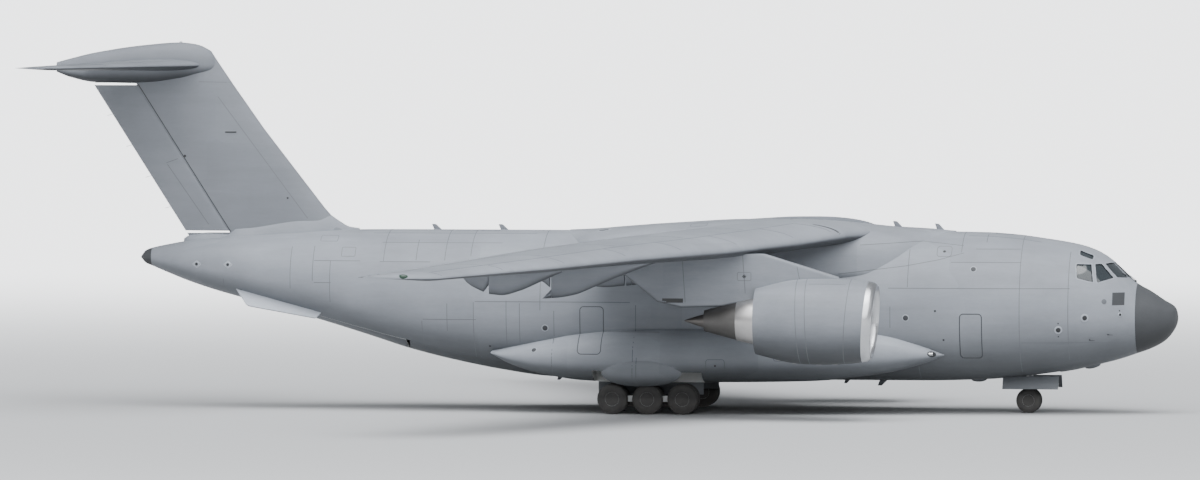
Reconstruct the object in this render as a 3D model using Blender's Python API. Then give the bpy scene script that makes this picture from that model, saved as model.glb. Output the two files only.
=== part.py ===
"""Twin-engine high-wing military transport plane, parked on its landing gear, as a model at half scale.

Metres, +Z up, +X towards the nose and +Y to port. The origin is on the ground, under the middle of
the plane's box. A station is a distance in metres behind the nose tip.
"""

import math

import bmesh
import bpy
import numpy as np
from mathutils import Matrix, Vector

# Driving sizes, all of them half of the real ones
LENGTH = 21.95
NOSE_X = LENGTH / 2
HAIR = 0.0004  # gap between fixed pieces that touch
RUNNING_GAP = 0.008  # gap round pieces that move
SKIN = 0.05  # thickness of the body's walls
ROUND = 28  # corners round the body
SIDES = (("left", 1), ("right", -1))

# Stations where the body's panels meet
RADOME_END = 0.78
FORWARD_END = 4.9
CENTRE_END = 12.2
AFT_END = 20.04

# Body sections. Columns: station, crown height, belly height, half width, height of the widest
# point, and how square the lower half is (2 is an ellipse)
BODY_ROWS = (
    (0.00, 1.841, 1.841, 0.00, 1.841, 2.00),
    (0.05, 2.045, 1.655, 0.19, 1.842, 2.00),
    (0.26, 2.186, 1.397, 0.41, 1.845, 2.00),
    (0.55, 2.377, 1.241, 0.59, 1.860, 2.00),
    (0.78, 2.505, 1.160, 0.70, 1.880, 2.00),
    (1.12, 2.830, 1.045, 0.88, 1.920, 2.00),
    (1.42, 3.066, 0.966, 1.02, 1.960, 2.05),
    (1.71, 3.199, 0.897, 1.13, 1.990, 2.10),
    (2.00, 3.275, 0.830, 1.21, 2.010, 2.15),
    (2.58, 3.369, 0.746, 1.33, 2.030, 2.25),
    (3.16, 3.443, 0.684, 1.40, 2.050, 2.35),
    (3.74, 3.479, 0.642, 1.43, 2.050, 2.40),
    (4.90, 3.490, 0.612, 1.44, 2.050, 2.50),
    (11.30, 3.482, 0.612, 1.44, 2.050, 2.60),
    (12.20, 3.482, 0.652, 1.44, 2.060, 2.60),
    (13.10, 3.482, 0.775, 1.435, 2.100, 2.60),
    (13.98, 3.482, 0.945, 1.41, 2.170, 2.60),
    (14.86, 3.482, 1.160, 1.36, 2.270, 2.60),
    (15.75, 3.478, 1.437, 1.26, 2.380, 2.50),
    (16.64, 3.455, 1.704, 1.12, 2.500, 2.40),
    (17.82, 3.390, 2.028, 0.90, 2.640, 2.30),
    (18.71, 3.318, 2.262, 0.70, 2.740, 2.20),
    (19.30, 3.245, 2.450, 0.53, 2.810, 2.10),
    (19.75, 3.165, 2.625, 0.36, 2.870, 2.00),
    (20.04, 3.100, 2.745, 0.19, 2.920, 2.00),
    (20.17, 3.050, 2.800, 0.13, 2.920, 2.00),
    (20.27, 2.930, 2.910, 0.01, 2.920, 2.00),
)
RADOME_STATIONS = (0.001, 0.03, 0.09, 0.22, 0.45, RADOME_END)
FORWARD_STATIONS = (0.78, 1.00, 1.25, 1.55, 1.95, 2.50, 3.30, 4.90)
CENTRE_STATIONS = (4.90, 8.50, 11.30, 12.20)
AFT_STATIONS = (12.2, 12.7, 13.4, 14.1, 14.86, 15.75, 16.64, 17.82, 18.71, 19.5, 20.04)
TAIL_CAP_STATIONS = (20.04, 20.15, 20.23, 20.27)
BODY_STATIONS = (*FORWARD_STATIONS, *CENTRE_STATIONS[1:], *AFT_STATIONS[1:])

# Fairing over the body where the wing crosses it. Columns: station, top height, half width
HUMP_ROWS = (
    (4.30, 3.500, 0.30),
    (4.90, 3.550, 0.80),
    (5.48, 3.577, 1.15),
    (6.07, 3.632, 1.32),
    (6.65, 3.680, 1.38),
    (7.40, 3.714, 1.40),
    (8.40, 3.708, 1.40),
    (9.57, 3.647, 1.38),
    (10.74, 3.562, 1.28),
    (11.33, 3.512, 1.05),
    (11.80, 3.492, 0.60),
)
HUMP_FOOT = 2.75
HUMP_SQUARENESS = 3.0

# Pods along the body's sides, over the main wheels. Columns: station, top, bottom, outer edge
POD_ROWS = (
    (4.36, 1.19, 1.14, 1.22),
    (4.80, 1.40, 0.98, 1.44),
    (5.64, 1.64, 0.78, 1.66),
    (7.00, 1.72, 0.63, 1.84),
    (8.50, 1.72, 0.60, 1.90),
    (10.50, 1.68, 0.59, 1.90),
    (11.40, 1.60, 0.62, 1.84),
    (12.20, 1.44, 0.74, 1.70),
    (12.80, 1.29, 0.92, 1.53),
    (13.17, 1.19, 1.12, 1.38),
)
POD_MIDDLE = 1.0
POD_SQUARENESS = 2.4
BULGE_STATIONS = (9.13, 11.22)
BULGE_Y = 1.52
BULGE_Z = 0.83
BULGE_HALF_WIDTH = 0.44
BULGE_HALF_HEIGHT = 0.355

# Wing. Columns: y, leading edge station, trailing edge station, height of the nose, nose-up angle
# in degrees, thickness over chord
WING_ROWS = (
    (0.90, 5.85, 11.10, 3.470, 5.0, 0.110),
    (1.45, 6.228, 11.22, 3.455, 4.8, 0.112),
    (2.60, 7.019, 11.46, 3.345, 3.0, 0.120),
    (4.30, 8.188, 11.75, 3.235, 0.6, 0.130),
    (6.30, 9.563, 12.442, 3.165, 0.0, 0.128),
    (8.20, 10.869, 13.100, 3.060, -0.5, 0.124),
    (10.88, 12.712, 14.027, 2.950, -1.0, 0.115),
    (11.00, 12.960, 14.065, 2.951, -1.0, 0.100),
    (11.07, 13.250, 14.085, 2.952, -1.0, 0.080),
    (11.10, 13.700, 14.080, 2.953, -1.0, 0.060),
)
WING_CAMBER = 0.025
TRAILING_EDGE = 0.004
FLAP_NOSE = 0.745
AILERON_NOSE = 0.75
SPOILER_SPAN = (4.50, 7.70)
SPOILER_CHORD = (0.600, 0.735)
SPOILER_THICKNESS = 0.022
# Columns: name, inner y, outer y, hinge point at the inner end, hinge point at the outer end
FLAPS = (
    ("flap_inboard", 1.50, 4.12, (0.94, 2.48), (0.07, 2.56)),
    ("flap_outboard", 4.30, 7.92, (0.11, 2.36), (-1.40, 2.74)),
)
AILERON_SPAN = (8.20, 10.74)
END_GAP = 0.018  # gap at the ends of surfaces whose hinge lines are swept
# Fairings under the wing that carry the flaps. Columns: y, x and bottom height of four points
# from the front to the flap's hinge, then x and height where the flap's own part begins
FLAP_FAIRINGS = (
    (2.55, ((2.60, 3.02), (1.70, 2.72), (0.95, 2.50), (0.55, 2.42)), (0.30, 2.68)),
    (5.60, ((1.60, 3.08), (1.00, 2.80), (0.20, 2.52), (-0.45, 2.39)), (-0.62, 2.70)),
    (7.62, ((0.10, 2.95), (-0.50, 2.66), (-0.90, 2.57), (-1.22, 2.60)), (-1.40, 2.68)),
)
FAIRING_HALF_WIDTH = 0.085

# Engines
ENGINE_Y = 3.65
ENGINE_Z = 1.89
ENGINE_ROUND = 26
# Columns: x, radius
COWL_OUTER = ((5.52, 0.680), (5.475, 0.728), (5.38, 0.762), (5.05, 0.802), (4.44, 0.820), (3.90, 0.785),
              (3.25, 0.630))
COWL_INNER = ((3.25, 0.616), (3.80, 0.640), (4.70, 0.652), (5.15, 0.622), (5.42, 0.626), (5.50, 0.652))
CORE = ((4.66, 0.26), (4.30, 0.41), (3.40, 0.46), (2.80, 0.345), (2.26, 0.200), (2.25, 0.150), (1.95, 0.050),
        (1.87, 0.012))
COWL_LEAN = 0.085  # how far the intake's top leads, for each metre of height
COWL_LEAN_FROM = 4.2
FAN_X = 4.86
FAN_RADIUS = 0.615
FAN_BLADES = 14
SPINNER = ((5.12, 0.010), (5.06, 0.075), (4.95, 0.150), (4.80, 0.205), (4.70, 0.205))
PYLON = ((4.95, 2.55), (4.82, 2.74), (3.25, 3.22), (2.90, 3.30), (0.62, 3.20), (0.50, 2.94), (1.37, 2.24),
         (1.81, 2.14), (2.60, 2.16), (3.22, 2.28), (3.60, 2.40))
PYLON_HALF_WIDTH = 0.085

# Fin and rudder. Columns: height, leading edge x, rudder hinge x, trailing edge x
FIN_ROWS = (
    (3.20, -5.00, -7.43, -8.26),
    (3.43, -5.17, -7.576, -8.408),
    (3.62, -5.42, -7.697, -8.529),
    (3.89, -5.66, -7.870, -8.702),
    (5.42, -6.85, -8.845, -9.677),
    (6.28, -7.46, -9.394, -10.226),
    (6.72, -7.76, -9.674, -9.90),
)
FIN_THICKNESS = 0.105
RUDDER_HEIGHTS = (3.435, 6.265)
RUDDER_END_GAP = 0.045
# Fairing where the tailplane crosses the fin. Columns: x, top, bottom, half width
BULLET_ROWS = (
    (-7.78, 6.70, 6.60, 0.03),
    (-7.90, 6.93, 6.50, 0.12),
    (-8.22, 7.07, 6.42, 0.20),
    (-8.52, 7.10, 6.36, 0.25),
    (-9.20, 7.03, 6.30, 0.28),
    (-10.20, 6.78, 6.30, 0.24),
    (-10.70, 6.61, 6.41, 0.12),
    (-10.96, 6.52, 6.49, 0.02),
)
# Tailplane. Columns: y, leading edge x, trailing edge x, height, thickness over chord
TAILPLANE_ROWS = (
    (0.00, -8.02, -10.30, 6.66, 0.10),
    (0.30, -8.17, -10.35, 6.66, 0.10),
    (3.95, -9.98, -10.945, 6.665, 0.09),
    (4.05, -10.12, -10.962, 6.665, 0.08),
    (4.10, -10.40, -10.975, 6.665, 0.06),
)
ELEVATOR_NOSE = 0.70
ELEVATOR_SPAN = (0.42, 3.86)
# Ridge at the fin's foot. Columns: station, top height, half width
RIDGE_ROWS = ((15.95, 3.50, 0.05), (16.40, 3.53, 0.16), (17.20, 3.52, 0.24), (18.20, 3.44, 0.24),
              (18.90, 3.40, 0.20), (19.35, 3.33, 0.10), (19.42, 3.28, 0.03))
# Corners of the strake under each side of the tail. Columns: station, y, z
STRAKE = ((18.31, 0.60, 2.36), (16.62, 0.76, 1.93), (16.74, 0.94, 1.76), (18.02, 0.891, 2.01))
STRAKE_THICKNESS = 0.03

# Cargo ramp and the door behind it
RAMP_HALF_WIDTH = 0.98
RAMP_STATIONS = (12.22, 14.86)
RAMP_TOP = (0.95, 1.36)
RAMP_LEAN = 0.052
RAMP_REAR_EDGE = 1.16
DOOR_STATIONS = (14.89, 18.00)
DOOR_HALF_WIDTHS = (0.98, 0.46)
FLOOR_TOP = 0.95
FLOOR_THICKNESS = 0.07
# Doors in the body's sides. Columns: name, front and rear station, bottom and top height
SIDE_DOORS = (
    ("crew_door", 3.66, 4.08, 1.10, 1.95),
    ("jump_door", 10.97, 11.42, 1.16, 2.05),
)
DOOR_CORNER = 0.07
DECK_TOP = 2.08

# Cockpit windows in the side view, as station and height, and how far from the middle they begin
WINDOWS = (
    ("rear_side", ((1.888, 2.894), (1.615, 2.890), (1.565, 2.556), (1.861, 2.634)), 0.3),
    ("front_side", ((1.545, 2.893), (1.425, 2.890), (1.196, 2.633), (1.486, 2.549)), 0.3),
    ("windshield", ((1.365, 2.897), (1.10, 2.92), (0.85, 2.66), (0.975, 2.627), (1.135, 2.644)), 0.03),
    ("eyebrow", ((1.847, 3.150), (1.594, 3.050), (1.604, 2.980), (1.841, 3.064)), 0.3),
)

# Landing gear
MAIN_GEAR_Y = 1.50
MAIN_GEAR_X = 0.90
AXLE_SPACING = 0.68
MAIN_WHEEL_RADIUS = 0.2925
MAIN_TYRE_WIDTH = 0.20
MAIN_WHEEL_TRACK = 0.17
WELL_X = (-0.16, 1.96)
WELL_Y = (1.19, 1.81)
WELL_TOP = 1.02
NOSE_GEAR_X = 8.10
NOSE_WHEEL_RADIUS = 0.24
NOSE_TYRE_WIDTH = 0.15
NOSE_WHEEL_TRACK = 0.13
NOSE_WELL_X = (7.60, 8.72)
NOSE_WELL_HALF_WIDTH = 0.29
NOSE_WELL_TOP = 1.30
AXLE_RADIUS = 0.035
WHEEL_ROUND = 20

MATERIALS = {}


def at(station):
    """Returns the x of a station."""
    return NOSE_X - station


def clear_scene():
    """Removes every object, so that the file starts empty."""
    for old in list(bpy.data.objects):
        bpy.data.objects.remove(old, do_unlink=True)


def paint(name, colour, roughness, metallic=0.0):
    """Makes a plain finish and keeps it under its name."""
    material = bpy.data.materials.new(name)
    material.use_nodes = True
    shader = material.node_tree.nodes["Principled BSDF"]
    shader.inputs["Base Color"].default_value = (*colour, 1.0)
    shader.inputs["Roughness"].default_value = roughness
    shader.inputs["Metallic"].default_value = metallic
    MATERIALS[name] = material


def make_finishes():
    """Makes the plane's finishes."""
    paint("body_grey", (0.36, 0.38, 0.41), 0.45)
    paint("radome_grey", (0.10, 0.11, 0.12), 0.55)
    paint("deck_grey", (0.16, 0.17, 0.18), 0.70)
    paint("window_glass", (0.05, 0.07, 0.08), 0.08)
    paint("gear_white", (0.70, 0.71, 0.72), 0.35)
    paint("tyre_rubber", (0.02, 0.02, 0.02), 0.85)
    paint("hot_metal", (0.30, 0.28, 0.26), 0.35, 1.0)
    paint("blade_metal", (0.25, 0.26, 0.28), 0.30, 1.0)


def add_object(name, vertices, faces, finish=None):
    """Adds a closed mesh, with its faces turned outwards."""
    mesh = bpy.data.meshes.new(name)
    mesh.from_pydata([tuple(v) for v in vertices], [], faces)
    shape = bmesh.new()
    shape.from_mesh(mesh)
    bmesh.ops.recalc_face_normals(shape, faces=shape.faces)
    shape.to_mesh(mesh)
    shape.free()
    made = bpy.data.objects.new(name, mesh)
    bpy.context.collection.objects.link(made)
    if finish:
        mesh.materials.append(MATERIALS[finish])
        mesh.shade_smooth()
        mesh.set_sharp_from_angle(angle=math.radians(35))
    return made


def guide(made):
    """Marks an object as a cutter, which isn't part of the plane."""
    made.hide_render = True
    made.display_type = "WIRE"
    return made


def combine(target, other, operation):
    """Adds a Boolean with another object, which becomes a guide."""
    step = target.modifiers.new(f"{operation.lower()} {other.name}"[:60], "BOOLEAN")
    step.operation = operation
    step.solver = "EXACT"
    step.object = guide(other)
    return target


def cut(target, *others):
    """Takes other shapes away from the target."""
    for other in others:
        combine(target, other, "DIFFERENCE")
    return target


def keep(target, other):
    """Keeps only what the target shares with the other shape."""
    return combine(target, other, "INTERSECT")


def join(target, *others):
    """Welds other shapes to the target."""
    for other in others:
        combine(target, other, "UNION")
    return target


def move_origin(made, point):
    """Puts an object's origin at a point and leaves its shape where it is."""
    made.data.transform(Matrix.Translation(-Vector(point)))
    made.location = point
    return made


def band(low, high, count, turned_back=False):
    """Returns the triangles between two rings, split alike whichever way the rings run."""
    faces = []
    for i in range(count):
        j = (i + 1) % count
        if turned_back:
            faces.append((low + j, high + j, high + i))
            faces.append((low + j, high + i, low + i))
        else:
            faces.append((low + i, low + j, high + j))
            faces.append((low + i, high + j, high + i))
    return faces


def loft(name, rings, finish=None):
    """Joins rings of points into one closed skin with flat ends."""
    count = len(rings[0])
    vertices = [point for ring in rings for point in ring]
    faces = []
    for row in range(len(rings) - 1):
        faces += band(row * count, (row + 1) * count, count)
    faces.append(tuple(range(count)))
    faces.append(tuple(range(len(vertices) - count, len(vertices))))
    return add_object(name, vertices, faces, finish)


def pipe(name, outer, inner, finish=None):
    """Joins outer and inner rings into one hollow skin that is open at both ends."""
    rings = list(outer) + list(reversed(inner))
    count = len(rings[0])
    faces = []
    for row in range(len(rings)):
        faces += band(row * count, (row + 1) % len(rings) * count, count, row >= len(outer))
    return add_object(name, [point for ring in rings for point in ring], faces, finish)


def prism(name, outline, axis, low, high, finish=None):
    """Extrudes an outline along axis X, Y or Z, from low to high."""
    place = {
        "X": lambda a, b, c: (c, a, b),
        "Y": lambda a, b, c: (a, c, b),
        "Z": lambda a, b, c: (a, b, c),
    }[axis]
    rings = [[place(a, b, level) for a, b in outline] for level in (low, high)]
    return loft(name, rings, finish)


def block(name, x, y, z, finish=None):
    """Makes a box from its limits on each axis."""
    outline = ((x[0], y[0]), (x[1], y[0]), (x[1], y[1]), (x[0], y[1]))
    return prism(name, outline, "Z", z[0], z[1], finish)


def turned(name, profile, axis, centre, corners, finish=None):
    """Turns a profile of distance along the axis and radius about axis X or Y or Z."""
    rings = []
    for along, radius in profile:
        ring = []
        for i in range(corners):
            angle = 2 * math.pi * i / corners
            a, b = radius * math.cos(angle), radius * math.sin(angle)
            offset = {"X": (along, a, b), "Y": (a, along, b), "Z": (a, b, along)}[axis]
            ring.append(Vector(offset) + Vector(centre))
        rings.append(ring)
    return loft(name, rings, finish)


def rod(name, start, end, radius, corners=16, finish=None):
    """Makes a round bar between two points."""
    start, end = Vector(start), Vector(end)
    along = (end - start).normalized()
    side = along.orthogonal().normalized()
    other = along.cross(side)
    rings = []
    for middle in (start, end):
        ring = []
        for i in range(corners):
            angle = 2 * math.pi * (i + 0.5) / corners
            ring.append(middle + radius * (math.cos(angle) * side + math.sin(angle) * other))
        rings.append(ring)
    return loft(name, rings, finish)


def smooth(positions, values, where):
    """Reads a curve through the values that never swings past them."""
    positions = np.asarray(positions, float)
    values = np.asarray(values, float)
    steps = np.diff(positions)
    rises = np.diff(values) / steps
    slopes = np.empty_like(values)
    slopes[0], slopes[-1] = rises[0], rises[-1]
    for i in range(1, len(values) - 1):
        before, after = rises[i - 1], rises[i]
        same = before * after > 0
        slopes[i] = 2 * before * after / (before + after) if same else 0.0
    i = int(np.clip(np.searchsorted(positions, where) - 1, 0, len(steps) - 1))
    t = (where - positions[i]) / steps[i]
    start = values[i] * (1 + 2 * t) * (1 - t) ** 2 + slopes[i] * steps[i] * t * (1 - t) ** 2
    end = values[i + 1] * t * t * (3 - 2 * t) + slopes[i + 1] * steps[i] * t * t * (t - 1)
    return float(start + end)


def read_rows(rows, where):
    """Reads every column of a table at one place in its first column."""
    columns = list(zip(*rows))
    return [smooth(columns[0], column, where) for column in columns[1:]]


def read_lines(rows, where):
    """Reads every column of a table by straight lines between its rows."""
    columns = list(zip(*rows))
    return [float(np.interp(where, columns[0], column)) for column in columns[1:]]


# The body is read against the root of the station, which keeps the nose round
BODY_CURVE = tuple((math.sqrt(row[0]), *row[1:]) for row in BODY_ROWS)


def body_at(station):
    """Returns crown, belly, half width, height of the widest point and squareness."""
    return read_rows(BODY_CURVE, math.sqrt(station))


def oval_ring(x, middle_y, waist, half_width, top, bottom, low_power, high_power=2.0, corners=ROUND):
    """Makes a ring across X whose upper and lower halves may differ."""
    ring = []
    for i in range(corners):
        angle = 2 * math.pi * i / corners
        across, up = math.cos(angle), math.sin(angle)
        power = high_power if up >= 0 else low_power
        y = middle_y + half_width * math.copysign(abs(across) ** (2 / power), across)
        reach = (top - waist) if up >= 0 else (bottom - waist)
        z = waist + reach * abs(up) ** (2 / power)
        ring.append((x, y, z))
    return ring


def body_ring(station, inset=0.0):
    """Makes the body's ring at a station, moved in from the skin by the inset."""
    crown, belly, half, waist, square = body_at(station)
    return oval_ring(at(station), 0.0, waist, half - inset, crown - inset, belly + inset, square)


def stations_between(first, last):
    """Returns the body's own stations from the first to the last."""
    return [station for station in BODY_STATIONS if first <= station <= last]


def body_solid(name, first, last, inset=0.0):
    """Makes the solid inside the body's skin, to cut others with."""
    return loft(name, [body_ring(station, inset) for station in stations_between(first, last)])


def body_shell(name, stations, gap=HAIR):
    """Makes a hollow length of the body, with half the gap left open at each end."""
    places = [stations[0] + gap / 2, *stations[1:-1], stations[-1] - gap / 2]
    outer = [body_ring(station) for station in places]
    inner = [body_ring(station, SKIN) for station in places]
    return pipe(name, outer, inner, "body_grey")


def rounded_outline(low, high, radius, steps=4):
    """Returns a rectangle with round corners, from its low and high corner."""
    outline = []
    corners = ((high[0], high[1], 0), (low[0], high[1], 90), (low[0], low[1], 180), (high[0], low[1], 270))
    for a, b, start in corners:
        middle_a = a - math.copysign(radius, a - (low[0] + high[0]) / 2)
        middle_b = b - math.copysign(radius, b - (low[1] + high[1]) / 2)
        for step in range(steps + 1):
            angle = math.radians(start + 90 * step / steps)
            outline.append((middle_a + radius * math.cos(angle), middle_b + radius * math.sin(angle)))
    return outline


def side_door_outline(row, gap=0.0):
    """Returns a side door's outline in x and z, made smaller by the gap."""
    _, front, rear, bottom, top = row
    low = (at(rear) + gap, bottom + gap)
    high = (at(front) - gap, top - gap)
    return rounded_outline(low, high, DOOR_CORNER)


def window_cutters():
    """Makes one cutter for each cockpit window and side."""
    cutters = []
    for name, points, inner in WINDOWS:
        outline = [(at(station), z) for station, z in points]
        for side, sign in SIDES:
            limits = sorted((sign * inner, sign * 1.6))
            cutters.append(prism(f"window_{name}_{side}", outline, "Y", *limits))
    return cutters


def make_radome():
    """The dark nose cone."""
    stations = (*RADOME_STATIONS[:-1], RADOME_END - HAIR / 2)
    return loft("radome", [body_ring(station) for station in stations], "radome_grey")


def make_forward_fuselage():
    """The nose section, with the cockpit windows, crew doors and nose wheel opening cut out."""
    shell = body_shell("forward_fuselage", FORWARD_STATIONS)
    cut(shell, *window_cutters())
    row = SIDE_DOORS[0]
    for side, sign in SIDES:
        limits = sorted((sign * 0.9, sign * 1.6))
        cut(shell, prism(f"crew_opening_{side}", side_door_outline(row), "Y", *limits))
    width = NOSE_WELL_HALF_WIDTH + HAIR
    opening = block("nose_well_opening", (NOSE_WELL_X[0] - HAIR, NOSE_WELL_X[1] + HAIR), (-width, width), (0.4, 1.0))
    return cut(shell, opening)


def make_centre_fuselage():
    """The section that carries the wing, with a jump door each side."""
    shell = body_shell("centre_fuselage", CENTRE_STATIONS)
    row = SIDE_DOORS[1]
    for side, sign in SIDES:
        limits = sorted((sign * 0.9, sign * 1.6))
        cut(shell, prism(f"jump_opening_{side}", side_door_outline(row), "Y", *limits))
    return shell


def aft_door_outline(gap=0.0):
    """Returns the outline of the door behind the ramp, in x and y."""
    front, rear = at(DOOR_STATIONS[0]) - gap, at(DOOR_STATIONS[1]) + gap
    wide, narrow = DOOR_HALF_WIDTHS[0] - gap, DOOR_HALF_WIDTHS[1] - gap
    return ((front, -wide), (front, wide), (rear, narrow), (rear, -narrow))


def make_aft_fuselage():
    """The tail section, open underneath for the ramp and the door behind it."""
    shell = body_shell("aft_fuselage", AFT_STATIONS)
    width = RAMP_HALF_WIDTH + RUNNING_GAP
    front, rear = at(CENTRE_END - 0.1), at(DOOR_STATIONS[0])
    cut(shell, block("ramp_opening", (rear, front), (-width, width), (0.3, 1.75)))
    cut(shell, prism("aft_door_opening", aft_door_outline(-RUNNING_GAP), "Z", 0.8, 2.42))
    return shell


def make_tail_cap():
    """The dark cap at the body's end."""
    stations = (AFT_END + HAIR / 2, *TAIL_CAP_STATIONS[1:])
    return loft("tail_cap", [body_ring(station) for station in stations], "radome_grey")


def make_crew_doors():
    """The crew doors, cut from the same skin as the body."""
    row = SIDE_DOORS[0]
    for side, sign in SIDES:
        door = body_shell(f"{row[0]}_{side}", stations_between(3.3, FORWARD_END))
        limits = sorted((sign * 0.9, sign * 1.6))
        outline = side_door_outline(row, RUNNING_GAP)
        keep(door, prism(f"{row[0]}_outline_{side}", outline, "Y", *limits))


def make_jump_doors():
    """The jump doors, whose lower ends follow the pods."""
    row = SIDE_DOORS[1]
    for side, sign in SIDES:
        door = body_solid(f"{row[0]}_{side}", FORWARD_END, CENTRE_END)
        door.data.materials.append(MATERIALS["body_grey"])
        join(door, pod_solid(f"{row[0]}_foot_{side}", sign))
        cut(door, body_solid(f"{row[0]}_room_{side}", FORWARD_END, CENTRE_END, SKIN))
        limits = sorted((sign * 0.9, sign * 2.2))
        outline = side_door_outline(row, HAIR)
        keep(door, prism(f"{row[0]}_outline_{side}", outline, "Y", *limits))


def make_ramp():
    """The cargo ramp: the belly's skin below, and a flat deck on top."""
    front, rear = RAMP_STATIONS
    ramp = body_solid("cargo_ramp", CENTRE_END, 15.75)
    ramp.data.materials.append(MATERIALS["body_grey"])
    x0, x1 = at(rear), at(front)
    # The rear end leans forward, to clear the circle that the door's front edge swings through
    outline = ((x0, 0.4), (x1, 0.4), (x1, RAMP_TOP[0]), (x0 + RAMP_LEAN, RAMP_TOP[1]), (x0, RAMP_REAR_EDGE))
    return keep(ramp, prism("ramp_limits", outline, "Y", -RAMP_HALF_WIDTH, RAMP_HALF_WIDTH))


def make_aft_door():
    """The door behind the ramp, which swings up inside the tail."""
    door = body_shell("aft_cargo_door", stations_between(14.1, 18.71))
    return keep(door, prism("aft_door_limits", aft_door_outline(), "Z", 0.8, 2.40))


def make_floor():
    """The cargo floor, from wall to wall."""
    floor = block("cargo_floor", (at(CENTRE_END - 0.01), at(FORWARD_END - 0.2)), (-1.4, 1.4),
                  (FLOOR_TOP - FLOOR_THICKNESS, FLOOR_TOP), "deck_grey")
    return keep(floor, body_solid("floor_limits", 3.3, CENTRE_END, SKIN + HAIR))


def make_flight_deck():
    """The cockpit floor, its rear wall with a doorway, panel, console and two seats."""
    deck = block("flight_deck", (at(4.62), at(1.30)), (-1.5, 1.5), (DECK_TOP - 0.06, DECK_TOP), "deck_grey")
    wall = block("deck_wall", (at(4.62), at(4.56)), (-1.5, 1.5), (DECK_TOP - 0.02, 3.6))
    panel = block("deck_panel", (at(1.34), at(1.18)), (-1.2, 1.2), (DECK_TOP - 0.06, 2.52))
    console = block("deck_console", (at(2.10), at(1.30)), (-0.14, 0.14), (DECK_TOP - 0.02, DECK_TOP + 0.22))
    join(deck, wall, panel, console)
    for side, sign in SIDES:
        middle = sign * 0.42
        wide = (middle - 0.13, middle + 0.13)
        join(deck, block(f"seat_base_{side}", (at(2.08), at(1.82)), (middle - 0.08, middle + 0.08),
                         (DECK_TOP - 0.02, DECK_TOP + 0.20)))
        join(deck, block(f"seat_pan_{side}", (at(2.12), at(1.80)), wide, (DECK_TOP + 0.18, DECK_TOP + 0.25)))
        join(deck, block(f"seat_back_{side}", (at(2.17), at(2.09)), wide, (DECK_TOP + 0.17, DECK_TOP + 0.66)))
    cut(deck, block("deck_doorway", (at(4.70), at(4.50)), (-0.2, 0.2), (DECK_TOP, DECK_TOP + 1.0)))
    return keep(deck, body_solid("deck_limits", RADOME_END, FORWARD_END, SKIN + HAIR))


def make_glazing():
    """One curved sheet of glass behind the cockpit's window openings."""
    stations = stations_between(RADOME_END, 2.5)
    outer = [body_ring(station, SKIN + 0.002) for station in stations]
    inner = [body_ring(station, SKIN + 0.014) for station in stations]
    sheet = pipe("cockpit_glazing", outer, inner, "window_glass")
    outline = ((at(1.95), 2.53), (at(0.97), 2.53), (at(0.82), 2.60), (at(0.82), 3.3), (at(1.95), 3.3))
    return keep(sheet, prism("glazing_limits", outline, "Y", -1.5, 1.5))


def make_hump():
    """The fairing over the body where the wing crosses it."""
    rings = [hump_ring(row[0]) for row in HUMP_ROWS]
    hump = loft("wing_fairing", rings, "body_grey")
    return cut(hump, body_solid("hump_seat", 3.3, CENTRE_END, -HAIR))


def hump_ring(station, grow=0.0):
    """Makes the wing fairing's ring at a station."""
    top, half = read_rows(HUMP_ROWS, station)
    return oval_ring(at(station), 0.0, HUMP_FOOT, half + grow, top + grow, HUMP_FOOT - 0.5, 2.0,
                     HUMP_SQUARENESS, 24)


def pod_ring(station, sign, grow=0.0):
    """Makes a side pod's ring at a station."""
    top, bottom, outer = read_rows(POD_ROWS, station)
    waist = bottom + 0.42 * (top - bottom)
    return oval_ring(at(station), sign * POD_MIDDLE, waist, outer - POD_MIDDLE + grow, top + grow,
                     bottom - grow, POD_SQUARENESS, corners=24)


def pod_solid(name, sign, grow=0.0, finish=None):
    """Makes a whole side pod, before it is fitted to the body."""
    return loft(name, [pod_ring(row[0], sign, grow) for row in POD_ROWS], finish)


def bulge_ring(t, sign, grow=0.0):
    """Makes the wheel bulge's ring, with t from -1 at its rear to 1 at its front."""
    front, rear = (at(station) for station in BULGE_STATIONS)
    size = (1 - abs(t) ** 2.4) ** 0.6
    x = (front + rear) / 2 + t * (front - rear) / 2
    height = BULGE_HALF_HEIGHT * size + grow
    return oval_ring(x, sign * BULGE_Y, BULGE_Z, BULGE_HALF_WIDTH * size + grow, BULGE_Z + height,
                     BULGE_Z - height, 2.3, 2.3, 20)


def bulge_solid(name, sign, grow=0.0):
    """Makes the bulge over one side's wheels."""
    places = (-0.995, -0.93, -0.75, -0.4, 0.4, 0.75, 0.93, 0.995)
    return loft(name, [bulge_ring(t, sign, grow) for t in places])


def make_pods():
    """The pods along the body's sides, each with a well for its wheels."""
    for side, sign in SIDES:
        pod = pod_solid(f"sponson_{side}", sign, finish="body_grey")
        join(pod, bulge_solid(f"wheel_bulge_{side}", sign))
        cut(pod, body_solid(f"pod_seat_{side}", 3.3, 14.1, -HAIR))
        width = RAMP_HALF_WIDTH + RUNNING_GAP
        cut(pod, block(f"ramp_side_{side}", (at(13.5), at(12.1)), (-width, width), (0.3, 1.6)))
        limits = sorted((sign * 0.9, sign * 2.2))
        cut(pod, prism(f"pod_door_opening_{side}", side_door_outline(SIDE_DOORS[1]), "Y", *limits))
        well_y = sorted((sign * WELL_Y[0], sign * WELL_Y[1]))
        cut(pod, block(f"main_well_{side}", WELL_X, well_y, (0.2, WELL_TOP)))


def foil_point(fraction, upper, thickness, camber):
    """Returns the height of an aerofoil's surface over its chord line, for a chord of 1."""
    x = fraction
    half = 5 * thickness * (0.2969 * math.sqrt(x) - 0.1260 * x - 0.3516 * x**2 + 0.2843 * x**3 - 0.1036 * x**4)
    bend = camber * 4 * x * (1 - x)
    return bend + half if upper else bend - half


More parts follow.
